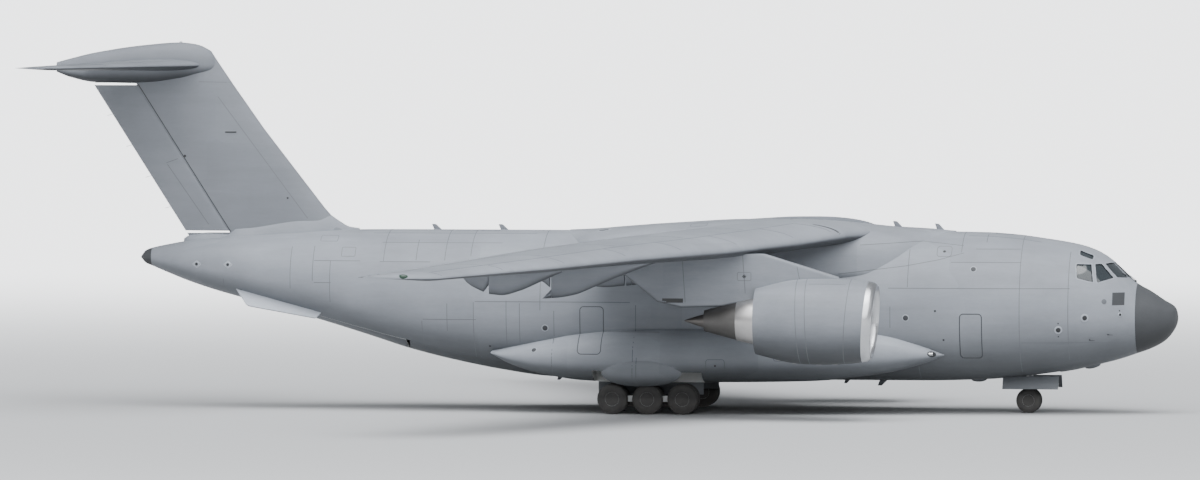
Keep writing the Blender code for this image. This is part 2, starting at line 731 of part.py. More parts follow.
def foil_skins(fractions, thickness, camber):
    """Returns an aerofoil's upper skin from rear to front, and its lower skin from front to rear."""
    upper = [(f, foil_point(f, True, thickness, camber)) for f in reversed(fractions)]
    lower = [(f, foil_point(f, False, thickness, camber)) for f in fractions]
    return upper, lower


def foil_outline(thickness, camber, steps):
    """Returns a whole aerofoil's outline, as fractions of its chord."""
    upper, lower = foil_skins([1 - math.cos(math.pi / 2 * i / steps) for i in range(steps + 1)],
                              thickness, camber)
    return upper + lower[1:]


def rear_outline(start, thickness, camber, steps):
    """Returns the outline of an aerofoil's rear part, with a flat front."""
    upper, lower = foil_skins([start + (1 - start) * i / steps for i in range(steps + 1)], thickness, camber)
    return upper + lower


def nose_arc(hinge, thickness, camber, gap=0.0, steps=6):
    """Returns a half circle about the hinge, from the upper skin round the front to the lower one."""
    top, bottom = (foil_point(hinge, upper, thickness, camber) for upper in (True, False))
    middle, radius = (top + bottom) / 2, (top - bottom) / 2 + gap
    angles = [math.pi * i / steps for i in range(steps + 1)]
    return [(hinge - radius * math.sin(a), middle + radius * math.cos(a)) for a in angles]


def hinged_outline(hinge, thickness, camber, steps=4):
    """Returns the outline of an aerofoil's moving part, whose nose is round about the hinge."""
    upper, lower = foil_skins([hinge + (1 - hinge) * i / steps for i in range(steps + 1)], thickness, camber)
    return upper[:-1] + nose_arc(hinge, thickness, camber) + lower[1:]


def opening_outline(hinge, thickness, camber, gap):
    """Returns the outline of the room that a moving part with a round nose needs."""
    arc = nose_arc(hinge, thickness, camber, gap)
    return [(1.2, arc[0][1]), *arc, (1.2, arc[-1][1])]


def wing_frame(y):
    """Returns the wing's nose, chord and nose-up angle at a distance from the middle."""
    nose, rear, z, angle, thickness = read_lines(WING_ROWS, abs(y))
    return at(nose), z, rear - nose, math.radians(angle), thickness


def wing_place(y, fraction, height):
    """Returns a point of the wing from its fraction of the chord and height over the chord."""
    x, z, chord, angle, _ = wing_frame(y)
    across = fraction * chord * math.cos(angle) + height * chord * math.sin(angle)
    drop = -fraction * chord * math.sin(angle) + height * chord * math.cos(angle)
    return (x - across, y, z + drop)


def wing_ring(y, sign, outline, shift=0.0):
    """Makes a ring of the wing at a distance from the middle, from an outline in chords."""
    ring = []
    for i, (fraction, height) in enumerate(outline):
        x, _, z = wing_place(y, fraction, height)
        blunt = TRAILING_EDGE / 2 if i <= len(outline) // 2 else -TRAILING_EDGE / 2
        ring.append((x, sign * y, z + blunt * fraction + shift))
    return ring


def wing_solid(name, sign, shift=0.0, finish=None):
    """Makes the whole wing of one side, before its moving surfaces are cut out."""
    rings = []
    for row in WING_ROWS:
        rings.append(wing_ring(row[0], sign, foil_outline(row[-1], WING_CAMBER, 9), shift))
    return loft(name, rings, finish)


def flap_opening(name, sign, inner, outer):
    """Makes a cutter that opens the wing behind the flap's nose."""
    outline = []
    for y, fraction in ((inner, FLAP_NOSE), (outer, FLAP_NOSE), (outer, 1.15), (inner, 1.15)):
        x, _, _ = wing_place(y, fraction, 0.0)
        outline.append((x + (0.012 if fraction == FLAP_NOSE else 0.0), sign * y))
    return prism(name, outline, "Z", 2.2, 4.4)


def spoiler_ring(y, sign, start, end, top, bottom):
    """Makes a ring of the wing's upper skin, between two heights over it."""
    thickness = wing_frame(y)[4]
    chord = wing_frame(y)[2]
    fractions = [start + (end - start) * i / 4 for i in range(5)]
    ring = []
    for level, order in ((top, reversed(fractions)), (bottom, fractions)):
        for fraction in order:
            height = foil_point(fraction, True, thickness, WING_CAMBER)
            x, _, z = wing_place(y, fraction, height + level / chord)
            ring.append((x, sign * y, z))
    return ring


def under_wing(y, x):
    """Returns the height of the wing's lower skin at x."""
    nose, _, chord, _, thickness = wing_frame(y)
    fraction = min(max((nose - x) / chord, 0.02), 0.99)
    return wing_place(y, fraction, foil_point(fraction, False, thickness, WING_CAMBER))[2]


def fairing_ring(y, sign, x, top, bottom, half):
    """Makes one ring of a fairing under the wing."""
    return oval_ring(x, sign * y, (top + bottom) / 2, half, top, bottom, 2.0, corners=12)


def fixed_fairing_rings(y, sign, points):
    """Makes the rings of the fixed part of a flap's fairing, which stops short of the flap."""
    nose, _, chord, _, _ = wing_frame(y)
    flap_nose = nose - (FLAP_NOSE - 0.012) * chord
    before = [point for point in points if point[0] > flap_nose]
    after = [point for point in points if point[0] <= flap_nose]
    join_height = float(np.interp(-flap_nose, [-x for x, _ in points], [z for _, z in points]))
    rings = []
    for i, (x, bottom) in enumerate((*before, (flap_nose, join_height))):
        half = FAIRING_HALF_WIDTH * (0.35 if i == 0 else 1.0)
        rings.append(fairing_ring(y, sign, x, under_wing(y, x) + 0.05, bottom, half))
    if after:
        after = [(flap_nose - 0.005, join_height), *after]
    for x, bottom in after:
        rings.append(fairing_ring(y, sign, x, under_wing(y, x) - 0.05, bottom, FAIRING_HALF_WIDTH * 0.8))
    return rings


def moving_fairing_rings(y, sign, x, bottom):
    """Makes the rings of the rear part of a fairing, which moves with the flap."""
    rear = wing_place(y, 0.97, 0.0)
    middle = (x + rear[0]) / 2
    half = FAIRING_HALF_WIDTH
    return [
        fairing_ring(y, sign, x, under_wing(y, x) + 0.03, bottom, half),
        fairing_ring(y, sign, middle, under_wing(y, middle) + 0.02, (bottom + rear[2]) / 2 - 0.05, half * 0.8),
        fairing_ring(y, sign, rear[0], rear[2] - 0.002, rear[2] - 0.03, half * 0.3),
    ]


def flap_shape(name, sign, inner, outer):
    """Makes a flap as the rear of the wing's section."""
    rings = []
    for y in (inner, *[row[0] for row in WING_ROWS if inner < row[0] < outer], outer):
        outline = rear_outline(FLAP_NOSE, wing_frame(y)[4], WING_CAMBER, 5)
        rings.append(wing_ring(y, sign, outline))
    return loft(name, rings, "body_grey")


def make_wings():
    """The wings, with their moving surfaces and the fairings that carry the flaps."""
    for side, sign in SIDES:
        wing = wing_solid(f"wing_{side}", sign, finish="body_grey")
        cut(wing, body_solid(f"wing_seat_{side}", 3.3, CENTRE_END, -HAIR))
        cut(wing, loft(f"wing_root_{side}", [hump_ring(row[0], HAIR) for row in HUMP_ROWS]))
        middle = (FLAPS[0][2] + FLAPS[1][1]) / 2
        cut(wing, flap_opening(f"flap_inboard_opening_{side}", sign, 1.0, middle + 0.01))
        cut(wing, flap_opening(f"flap_outboard_opening_{side}", sign, middle, FLAPS[1][2] + RUNNING_GAP))
        rings = []
        for y in (AILERON_SPAN[0] - END_GAP, AILERON_SPAN[1] + END_GAP):
            _, _, chord, _, thickness = wing_frame(y)
            outline = opening_outline(AILERON_NOSE, thickness, WING_CAMBER, RUNNING_GAP / chord)
            rings.append(wing_ring(y, sign, outline))
        cut(wing, loft(f"aileron_opening_{side}", rings))
        start, end = SPOILER_CHORD
        pocket = [spoiler_ring(y, sign, start - 0.004, end + 0.03, 0.06, -SPOILER_THICKNESS - 0.008)
                  for y in (SPOILER_SPAN[0] - END_GAP, 6.30, SPOILER_SPAN[1] + END_GAP)]
        cut(wing, loft(f"spoiler_pocket_{side}", pocket))
        for i, (y, points, _) in enumerate(FLAP_FAIRINGS):
            join(wing, loft(f"flap_fairing_{i}_{side}", fixed_fairing_rings(y, sign, points)))


def make_flaps():
    """The flaps, each with the rear parts of the fairings that carry it."""
    for side, sign in SIDES:
        for name, inner, outer, _, _ in FLAPS:
            flap = flap_shape(f"{name}_{side}", sign, inner, outer)
            for i, (y, _, (x, bottom)) in enumerate(FLAP_FAIRINGS):
                if inner < y < outer:
                    join(flap, loft(f"flap_tail_{i}_{side}", moving_fairing_rings(y, sign, x, bottom)))


def make_ailerons_and_spoilers():
    """The ailerons at the trailing edge and the spoilers on the upper skin."""
    for side, sign in SIDES:
        rings = []
        for y in AILERON_SPAN:
            rings.append(wing_ring(y, sign, hinged_outline(AILERON_NOSE, wing_frame(y)[4], WING_CAMBER)))
        loft(f"aileron_{side}", rings, "body_grey")
        start, end = SPOILER_CHORD
        rings = [spoiler_ring(y, sign, start, end, 0.0, -SPOILER_THICKNESS)
                 for y in (SPOILER_SPAN[0], 6.30, SPOILER_SPAN[1])]
        loft(f"spoiler_{side}", rings, "body_grey")


def lean_intake(made):
    """Leans a cowl's intake so that its top leads."""
    front = COWL_OUTER[0][0]
    for vertex in made.data.vertices:
        t = min(max((vertex.co.x - COWL_LEAN_FROM) / (front - COWL_LEAN_FROM), 0.0), 1.0)
        vertex.co.x += COWL_LEAN * (vertex.co.z - ENGINE_Z) * t * t * (3 - 2 * t)
    return made


def cowl_rings(profile, sign, grow=0.0):
    """Makes the rings of a cowl from its profile."""
    rings = []
    for x, radius in profile:
        ring = []
        for i in range(ENGINE_ROUND):
            angle = 2 * math.pi * i / ENGINE_ROUND
            y = sign * ENGINE_Y + (radius + grow) * math.cos(angle)
            ring.append((x, y, ENGINE_Z + (radius + grow) * math.sin(angle)))
        rings.append(ring)
    return rings


def make_engines():
    """The cowls, the engine blocks inside them, the fans and the pylons."""
    for side, sign in SIDES:
        outer = cowl_rings(COWL_OUTER, sign)
        inner = cowl_rings(list(reversed(COWL_INNER)), sign)
        lean_intake(pipe(f"nacelle_{side}", outer, inner, "body_grey"))
        centre = (0.0, sign * ENGINE_Y, ENGINE_Z)
        turned(f"engine_core_{side}", CORE, "X", centre, ENGINE_ROUND, "hot_metal")
        make_fan(side, sign)
        limits = (sign * ENGINE_Y - PYLON_HALF_WIDTH, sign * ENGINE_Y + PYLON_HALF_WIDTH)
        pylon = prism(f"pylon_{side}", PYLON, "Y", *limits, "body_grey")
        solid = loft(f"pylon_seat_{side}", cowl_rings(COWL_OUTER, sign, HAIR))
        cut(pylon, lean_intake(solid))
        grown = [(x, radius + HAIR) for x, radius in CORE]
        cut(pylon, turned(f"core_seat_{side}", grown, "X", centre, ENGINE_ROUND))
        cut(pylon, wing_solid(f"pylon_top_{side}", sign, shift=-HAIR))
        upper = block(f"pylon_limit_{side}", (0.0, 3.6), sorted((sign * 3.2, sign * 4.1)), (3.17, 3.7))
        cut(pylon, upper)


def make_fan(side, sign):
    """The fan: a spinner and twisted blades in one piece."""
    centre = (0.0, sign * ENGINE_Y, ENGINE_Z)
    fan = turned(f"fan_{side}", SPINNER, "X", centre, 14, "blade_metal")
    vertices, faces = [], []
    for i in range(FAN_BLADES):
        turn = Matrix.Rotation(2 * math.pi * i / FAN_BLADES, 4, "X")
        first = len(vertices)
        for radius, half_chord, pitch in ((0.17, 0.055, 35), (FAN_RADIUS, 0.07, 62)):
            a = math.radians(pitch)
            along = Vector((math.cos(a), math.sin(a), 0.0)) * half_chord
            thick = Vector((-math.sin(a), math.cos(a), 0.0)) * 0.006
            for offset in (along + thick, -along + thick, -along - thick, along - thick):
                point = turn @ (offset + Vector((0.0, 0.0, radius)))
                vertices.append(point + Vector((FAN_X, sign * ENGINE_Y, ENGINE_Z)))
        for j in range(4):
            k = (j + 1) % 4
            faces.append((first + j, first + k, first + 4 + k, first + 4 + j))
        faces.append((first, first + 1, first + 2, first + 3))
        faces.append((first + 4, first + 5, first + 6, first + 7))
    join(fan, add_object(f"fan_blades_{side}", vertices, faces))
    return fan


def fin_ring(z, outline):
    """Makes a ring of the fin at a height, from an outline in chords."""
    nose, _, rear = read_lines(FIN_ROWS, z)
    chord = nose - rear
    ring = []
    for i, (fraction, height) in enumerate(outline):
        blunt = 0.003 if i <= len(outline) // 2 else -0.003
        ring.append((nose - fraction * chord, height * chord + blunt * fraction, z))
    return ring


def rudder_hinge(z):
    """Returns the rudder hinge's place as a fraction of the fin's chord."""
    nose, hinge, rear = read_lines(FIN_ROWS, z)
    return (nose - hinge) / (nose - rear)


def make_fin():
    """The fin, the ridge at its foot and the fairing on top that carries the tailplane."""
    fin = loft("fin", [fin_ring(row[0], foil_outline(FIN_THICKNESS, 0.0, 8)) for row in FIN_ROWS], "body_grey")
    rings = []
    for z in (RUDDER_HEIGHTS[0] - RUDDER_END_GAP, RUDDER_HEIGHTS[1] + RUDDER_END_GAP):
        nose, _, rear = read_lines(FIN_ROWS, z)
        gap = RUNNING_GAP * 2 / (nose - rear)
        rings.append(fin_ring(z, opening_outline(rudder_hinge(z), FIN_THICKNESS, 0.0, gap)))
    cut(fin, loft("rudder_opening", rings))
    bullet = [oval_ring(x, 0.0, bottom + 0.4 * (top - bottom), half, top, bottom, 2.0, corners=20)
              for x, top, bottom, half in BULLET_ROWS]
    join(fin, loft("tail_bullet", bullet))
    ridge = [oval_ring(at(station), 0.0, 2.95, half, top, 2.8, 2.0, corners=16)
             for station, top, half in RIDGE_ROWS]
    join(fin, loft("fin_ridge", ridge))
    cut(fin, body_solid("fin_seat", 14.86, 20.04, -HAIR))
    for side, sign in SIDES:
        cut(fin, tailplane_solid(f"fin_slot_{side}", sign, HAIR))
    return fin


def make_rudder():
    """The rudder, with its nose round about its hinge."""
    rings = []
    for z in RUDDER_HEIGHTS:
        rings.append(fin_ring(z, hinged_outline(rudder_hinge(z), FIN_THICKNESS, 0.0)))
    return loft("rudder", rings, "body_grey")


def tail_ring(y, sign, outline, grow=0.0):
    """Makes a ring of the tailplane at a distance from the middle, from an outline in chords."""
    nose, rear, z, _ = read_lines(TAILPLANE_ROWS, y)
    nose, rear = nose + grow, rear - grow
    chord = nose - rear
    ring = []
    for i, (fraction, height) in enumerate(outline):
        blunt = 0.002 + grow if i <= len(outline) // 2 else -0.002 - grow
        ring.append((nose - fraction * chord, sign * y, z + height * chord + blunt * fraction))
    return ring


def tailplane_solid(name, sign, grow=0.0, inner=0.0, finish=None):
    """Makes half of the tailplane, before its elevator is cut out."""
    rings = []
    for y in (inner, *[row[0] for row in TAILPLANE_ROWS[1:]]):
        nose, rear, _, thickness = read_lines(TAILPLANE_ROWS, y)
        outline = foil_outline(thickness + 2 * grow / (nose - rear), 0.0, 7)
        rings.append(tail_ring(y, sign, outline, grow))
    return loft(name, rings, finish)


def make_tailplane():
    """The two halves of the tailplane and their elevators."""
    for side, sign in SIDES:
        half = tailplane_solid(f"tailplane_{side}", sign, inner=0.02, finish="body_grey")
        rings = []
        for y in (ELEVATOR_SPAN[0] - END_GAP, ELEVATOR_SPAN[1] + END_GAP):
            nose, rear, _, thickness = read_lines(TAILPLANE_ROWS, y)
            outline = opening_outline(ELEVATOR_NOSE, thickness, 0.0, RUNNING_GAP / (nose - rear))
            rings.append(tail_ring(y, sign, outline))
        cut(half, loft(f"elevator_opening_{side}", rings))
        rings = []
        for y in ELEVATOR_SPAN:
            thickness = read_lines(TAILPLANE_ROWS, y)[3]
            rings.append(tail_ring(y, sign, hinged_outline(ELEVATOR_NOSE, thickness, 0.0)))
        loft(f"elevator_{side}", rings, "body_grey")


def make_strakes():
    """The flat strakes under the tail."""
    for side, sign in SIDES:
        corners = [Vector((at(station), sign * y, z)) for station, y, z in STRAKE]
        across = (corners[1] - corners[0]).cross(corners[2] - corners[0]).normalized()
        rings = [[point + across * shift for point in corners]
                 for shift in (-STRAKE_THICKNESS / 2, STRAKE_THICKNESS / 2)]
        strake = loft(f"tail_strake_{side}", rings, "body_grey")
        cut(strake, body_solid(f"strake_seat_{side}", 15.75, 19.5, -HAIR))


def wheel_profile(radius, width, track, hub):
    """Returns the profile of a wheel pair and its axle, turned about Y."""
    near, far = track - width / 2, track + width / 2
    tyre = ((near, radius - 0.04), (near + 0.035, radius), (far - 0.035, radius), (far, radius - 0.04))
    half = ((near, AXLE_RADIUS), *tyre, (far - 0.03, hub))
    mirrored = [(-along, size) for along, size in reversed(half)]
    return (*mirrored, *half)


def make_wheels():
    """The wheel pairs: three each side, and one at the nose."""
    profile = wheel_profile(MAIN_WHEEL_RADIUS, MAIN_TYRE_WIDTH, MAIN_WHEEL_TRACK, 0.12)
    for side, sign in SIDES:
        for place, step in (("front", 1), ("middle", 0), ("rear", -1)):
            centre = (MAIN_GEAR_X + step * AXLE_SPACING, sign * MAIN_GEAR_Y, MAIN_WHEEL_RADIUS)
            wheel = turned(f"main_wheels_{side}_{place}", profile, "Y", centre, WHEEL_ROUND, "tyre_rubber")
            move_origin(wheel, centre)
    profile = wheel_profile(NOSE_WHEEL_RADIUS, NOSE_TYRE_WIDTH, NOSE_WHEEL_TRACK, 0.10)
    centre = (NOSE_GEAR_X, 0.0, NOSE_WHEEL_RADIUS)
    move_origin(turned("nose_wheels", profile, "Y", centre, WHEEL_ROUND, "tyre_rubber"), centre)


def make_main_gear():
    """Each side's leg, its rocking beam and its brace."""
    for side, sign in SIDES:
        y = sign * MAIN_GEAR_Y
        reach = AXLE_SPACING + 0.07
        z = MAIN_WHEEL_RADIUS
        beam = block(f"main_gear_{side}", (MAIN_GEAR_X - reach, MAIN_GEAR_X + reach), (y - 0.042, y + 0.042),
                     (z - 0.06, z + 0.06), "gear_white")
        for step in (-1, 0, 1):
            x = MAIN_GEAR_X + step * AXLE_SPACING
            cut(beam, rod(f"axle_bore_{side}_{step + 1}", (x, y - 0.1, z), (x, y + 0.1, z), AXLE_RADIUS + 0.003, 12))
        join(beam, rod(f"main_leg_{side}", (MAIN_GEAR_X, y, z + 0.045), (MAIN_GEAR_X, y, WELL_TOP - HAIR), 0.062))
        join(beam, rod(f"main_brace_{side}", (MAIN_GEAR_X, y, z + 0.30), (MAIN_GEAR_X + 0.55, y, WELL_TOP - 0.03),
                       0.028, 10))


def make_nose_gear():
    """The nose leg in its well, the part that steers, and the doors that stand open beside it."""
    width = NOSE_WELL_HALF_WIDTH
    well = block("nose_gear_well", NOSE_WELL_X, (-width, width), (0.5, NOSE_WELL_TOP), "gear_white")
    inner_x = (NOSE_WELL_X[0] + 0.02, NOSE_WELL_X[1] - 0.02)
    cut(well, block("nose_well_hollow", inner_x, (-width + 0.02, width - 0.02), (0.3, NOSE_WELL_TOP - 0.03)))
    keep(well, body_solid("nose_well_limits", 1.95, FORWARD_END))
    top = NOSE_WELL_TOP - 0.03 - HAIR
    leg = rod("nose_gear_leg", (NOSE_GEAR_X, 0, 0.52), (NOSE_GEAR_X, 0, top), 0.055, 16, "gear_white")
    join(leg, rod("nose_brace", (NOSE_GEAR_X, 0, 0.72), (NOSE_GEAR_X - 0.42, 0, top - 0.02), 0.024, 12))
    fork = rod("nose_gear_fork", (NOSE_GEAR_X, 0, 0.28), (NOSE_GEAR_X, 0, 0.514), 0.042, 16, "gear_white")
    join(fork, block("nose_knuckle", (NOSE_GEAR_X - 0.055, NOSE_GEAR_X + 0.055), (-0.045, 0.045), (0.18, 0.30)))
    z = NOSE_WHEEL_RADIUS
    cut(fork, rod("nose_axle_bore", (NOSE_GEAR_X, -0.2, z), (NOSE_GEAR_X, 0.2, z), AXLE_RADIUS + 0.003, 12))
    for side, sign in SIDES:
        hinge = Vector((0.0, sign * (width + 0.012), 0.71))
        outward = Vector((0.0, sign * math.sin(math.radians(32)), -math.cos(math.radians(32))))
        thick = Vector((0.0, sign * math.cos(math.radians(32)), math.sin(math.radians(32)))) * 0.016
        rings = []
        for x in (NOSE_WELL_X[0] + 0.02, NOSE_WELL_X[1] - 0.02):
            low = hinge + outward * 0.285
            ring = [hinge, low, low + thick, hinge + thick]
            rings.append([(x, point.y, point.z) for point in ring])
        door = loft(f"nose_gear_door_{side}", rings, "body_grey")
        cut(door, body_solid(f"nose_door_seat_{side}", 1.95, FORWARD_END, -HAIR))


def make_main_gear_doors():
    """Narrow doors that hang open inboard of the main wheels."""
    for side, sign in SIDES:
        limits = sorted((sign * (WELL_Y[0] - 0.034), sign * (WELL_Y[0] - 0.014)))
        door = block(f"main_gear_door_{side}", (WELL_X[0] + 0.04, WELL_X[1] - 0.04), limits, (0.36, 0.70),
                     "body_grey")
        cut(door, body_solid(f"main_door_body_{side}", FORWARD_END, CENTRE_END, -HAIR))
        cut(door, pod_solid(f"main_door_pod_{side}", sign, HAIR))
        cut(door, bulge_solid(f"main_door_bulge_{side}", sign, HAIR))


def main():
    """Builds the whole plane."""
    clear_scene()
    make_finishes()
    make_radome()
    make_forward_fuselage()
    make_centre_fuselage()
    make_aft_fuselage()
    make_tail_cap()
    make_crew_doors()
    make_jump_doors()
    make_ramp()
    make_aft_door()
    make_floor()
    make_flight_deck()
    make_glazing()
    make_hump()
    make_pods()
    make_wings()
    make_flaps()
    make_ailerons_and_spoilers()
    make_engines()
    make_fin()
    make_rudder()
    make_tailplane()
    make_strakes()
    make_wheels()
    make_main_gear()
    make_nose_gear()
    make_main_gear_doors()


main()
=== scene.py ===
"""Looks of a twin-engine high-wing military transport plane at half scale, built round its CAD frame.

Metres, +Z up, +X towards the nose and +Y to port. A station is a distance in metres behind the
nose tip. Most tables of sections repeat the CAD's, and are read here in finer steps.
"""

import math

import bmesh
import bpy
import numpy as np
from mathutils import Matrix, Vector
from mathutils.bvhtree import BVHTree


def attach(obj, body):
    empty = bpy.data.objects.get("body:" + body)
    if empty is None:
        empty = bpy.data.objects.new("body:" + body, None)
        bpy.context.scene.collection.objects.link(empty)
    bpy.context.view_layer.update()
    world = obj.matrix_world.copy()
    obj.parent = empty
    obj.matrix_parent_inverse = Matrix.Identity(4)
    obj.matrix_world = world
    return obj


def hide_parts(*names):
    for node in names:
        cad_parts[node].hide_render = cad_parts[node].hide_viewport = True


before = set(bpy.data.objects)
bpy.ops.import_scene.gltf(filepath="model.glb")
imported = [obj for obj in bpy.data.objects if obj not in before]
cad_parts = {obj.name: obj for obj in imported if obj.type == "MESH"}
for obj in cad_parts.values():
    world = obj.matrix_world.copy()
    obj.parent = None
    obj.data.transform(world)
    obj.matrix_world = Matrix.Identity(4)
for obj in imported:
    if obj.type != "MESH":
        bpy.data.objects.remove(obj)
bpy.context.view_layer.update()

bl_info = {
    "name": "Transport Plane Looks",
    "version": (1, 0, 0),
    "blender": (4, 5, 0),
    "location": "3D View > Sidebar > Plane",
    "description": "Builds the skins, fittings and finishes of a half-scale transport plane",
    "category": "Object",
}

# The nose tip's x, the body skin's thickness and the height of the body's middle
NOSE_X, SKIN, BODY_MIDDLE = 21.95 / 2, 0.05, 2.05

# Body sections: station, crown, belly, half width, height of the widest point, lower squareness
BODY_ROWS = (
    (0.00, 1.841, 1.841, 0.00, 1.841, 2.00), (0.05, 2.045, 1.655, 0.19, 1.842, 2.00),
    (0.26, 2.186, 1.397, 0.41, 1.845, 2.00), (0.55, 2.377, 1.241, 0.59, 1.860, 2.00),
    (0.78, 2.505, 1.160, 0.70, 1.880, 2.00), (1.12, 2.830, 1.045, 0.88, 1.920, 2.00),
    (1.42, 3.066, 0.966, 1.02, 1.960, 2.05), (1.71, 3.199, 0.897, 1.13, 1.990, 2.10),
    (2.00, 3.275, 0.830, 1.21, 2.010, 2.15), (2.58, 3.369, 0.746, 1.33, 2.030, 2.25),
    (3.16, 3.443, 0.684, 1.40, 2.050, 2.35), (3.74, 3.479, 0.642, 1.43, 2.050, 2.40),
    (4.90, 3.490, 0.612, 1.44, 2.050, 2.50), (11.30, 3.482, 0.612, 1.44, 2.050, 2.60),
    (12.20, 3.482, 0.652, 1.44, 2.060, 2.60), (13.10, 3.482, 0.775, 1.435, 2.100, 2.60),
    (13.98, 3.482, 0.945, 1.41, 2.170, 2.60), (14.86, 3.482, 1.160, 1.36, 2.270, 2.60),
    (15.75, 3.478, 1.437, 1.26, 2.380, 2.50), (16.64, 3.455, 1.704, 1.12, 2.500, 2.40),
    (17.82, 3.390, 2.028, 0.90, 2.640, 2.30), (18.71, 3.318, 2.262, 0.70, 2.740, 2.20),
    (19.30, 3.245, 2.450, 0.53, 2.810, 2.10), (19.75, 3.165, 2.625, 0.36, 2.870, 2.00),
    (20.04, 3.100, 2.745, 0.19, 2.920, 2.00), (20.17, 3.050, 2.800, 0.13, 2.920, 2.00),
    (20.27, 2.930, 2.910, 0.01, 2.920, 2.00),
)
RADOME_END, AFT_END = 0.78, 20.04
# Wing fairing: station, top, half width
HUMP_ROWS = (
    (4.30, 3.500, 0.30), (4.90, 3.550, 0.80), (5.48, 3.577, 1.15), (6.07, 3.632, 1.32), (6.65, 3.680, 1.38),
    (7.40, 3.714, 1.40), (8.40, 3.708, 1.40), (9.57, 3.647, 1.38), (10.74, 3.562, 1.28), (11.33, 3.512, 1.05),
    (11.80, 3.492, 0.60),
)
# Side pods: station, top, bottom, outer edge
POD_ROWS = (
    (4.36, 1.19, 1.14, 1.22), (4.80, 1.40, 0.98, 1.44), (5.64, 1.64, 0.78, 1.66), (7.00, 1.72, 0.63, 1.84),
    (8.50, 1.72, 0.60, 1.90), (10.50, 1.68, 0.59, 1.90), (11.40, 1.60, 0.62, 1.84), (12.20, 1.44, 0.74, 1.70),
    (12.80, 1.29, 0.92, 1.53), (13.17, 1.19, 1.12, 1.38),
)
# The front and rear end of the bulge over the wheels
BULGE_STATIONS = (9.13, 11.22)
# Wing: y, leading edge station, trailing edge station, nose height, nose-up degrees, thickness over chord
WING_ROWS = (
    (0.90, 5.85, 11.10, 3.470, 5.0, 0.110), (1.45, 6.228, 11.22, 3.455, 4.8, 0.112),
    (2.60, 7.019, 11.46, 3.345, 3.0, 0.120), (4.30, 8.188, 11.75, 3.235, 0.6, 0.130),
    (6.30, 9.563, 12.442, 3.165, 0.0, 0.128), (8.20, 10.869, 13.100, 3.060, -0.5, 0.124),
    (10.88, 12.712, 14.027, 2.950, -1.0, 0.115), (11.00, 12.960, 14.065, 2.951, -1.0, 0.100),
    (11.07, 13.250, 14.085, 2.952, -1.0, 0.080), (11.10, 13.700, 14.080, 2.953, -1.0, 0.060),
)
# The wing's camber and moving parts: where they begin, as fractions of the chord, and their spans in y
CAMBER = 0.025
FLAP_NOSE = 0.745
AILERON_NOSE = 0.75
SPOILER_SPAN = (4.50, 7.70)
SPOILER_CHORD = (0.600, 0.735)
FLAPS = (("flap_inboard", 1.50, 4.12), ("flap_outboard", 4.30, 7.92))
AILERON_SPAN = (8.20, 10.74)
# Flap fairings: y, x and height along the fixed part's lower edge, then the moving part's, and the height
# from which the moving part's front slants to the rear
FLAP_FAIRINGS = (
    (2.55, ((2.60, 3.02), (1.70, 2.72), (1.10, 2.56), (0.61, 2.505)),
     ((0.575, 2.505), (0.20, 2.475), (-0.15, 2.53)), 2.505),
    (5.60, ((1.62, 3.07), (0.84, 2.776), (0.40, 2.59), (0.06, 2.454), (-0.24, 2.398), (-0.40, 2.385)),
     ((-0.425, 2.585), (-0.557, 2.69), (-0.85, 2.82)), 2.585),
    (7.62, ((0.10, 2.95), (-0.345, 2.752), (-0.70, 2.60), (-1.04, 2.515), (-1.25, 2.535)),
     ((-1.29, 2.545), (-1.40, 2.585), (-1.733, 2.781)), 2.70),
)
# Slope of the slanted front end of a fairing's moving half
FAIRING_SLANT = 1.43
# The middle fairing's pointed tail: x, bottom, top
FAIRING_TAIL = ((-0.39, 2.386, 2.56), (-0.47, 2.380, 2.475), (-0.557, 2.377, 2.381))
# The port engine's middle line
ENGINE_Y, ENGINE_Z = 3.65, 1.89
# Round the cowl's wall: x, radius, from the rear outside over the lip to the rear inside
COWL = (
    (3.25, 0.630), (3.90, 0.785), (4.44, 0.820), (5.05, 0.802), (5.38, 0.762), (5.475, 0.728), (5.515, 0.690),
    (5.50, 0.660), (5.42, 0.632), (5.15, 0.622), (4.70, 0.652), (3.80, 0.640), (3.25, 0.616),
)
# The pylon's outline: x, z
PYLON = ((4.95, 2.55), (4.82, 2.74), (3.25, 3.22), (2.90, 3.30), (0.62, 3.20), (0.50, 2.94), (1.37, 2.24),
         (1.81, 2.14), (2.60, 2.16), (3.22, 2.28), (3.60, 2.40))
# Fin: height, leading edge x, rudder hinge x, trailing edge x. The last row lies inside the top fairing
FIN_ROWS = (
    (3.20, -5.00, -7.43, -8.26), (3.43, -5.17, -7.576, -8.408), (3.62, -5.42, -7.697, -8.529),
    (3.89, -5.66, -7.870, -8.702), (5.42, -6.85, -8.845, -9.677), (6.28, -7.46, -9.394, -10.226),
    (6.72, -7.76, -9.674, -9.90), (6.91, -7.885, -9.30, -9.45),
)
FIN_FOOT, FIN_TOP = FIN_ROWS[0][0], FIN_ROWS[-1][0]
FIN_THICKNESS = 0.105
RUDDER_HEIGHTS = (3.435, 6.265)
# Fairing on the fin's top: x, top, bottom, half width
BULLET_ROWS = (
    (-7.78, 6.70, 6.60, 0.03), (-7.90, 6.93, 6.50, 0.12), (-8.22, 7.07, 6.42, 0.20),
    (-8.52, 7.10, 6.36, 0.25), (-9.20, 7.05, 6.30, 0.28), (-10.20, 6.90, 6.32, 0.24),
    (-10.70, 6.78, 6.42, 0.13), (-10.96, 6.71, 6.52, 0.05),
)
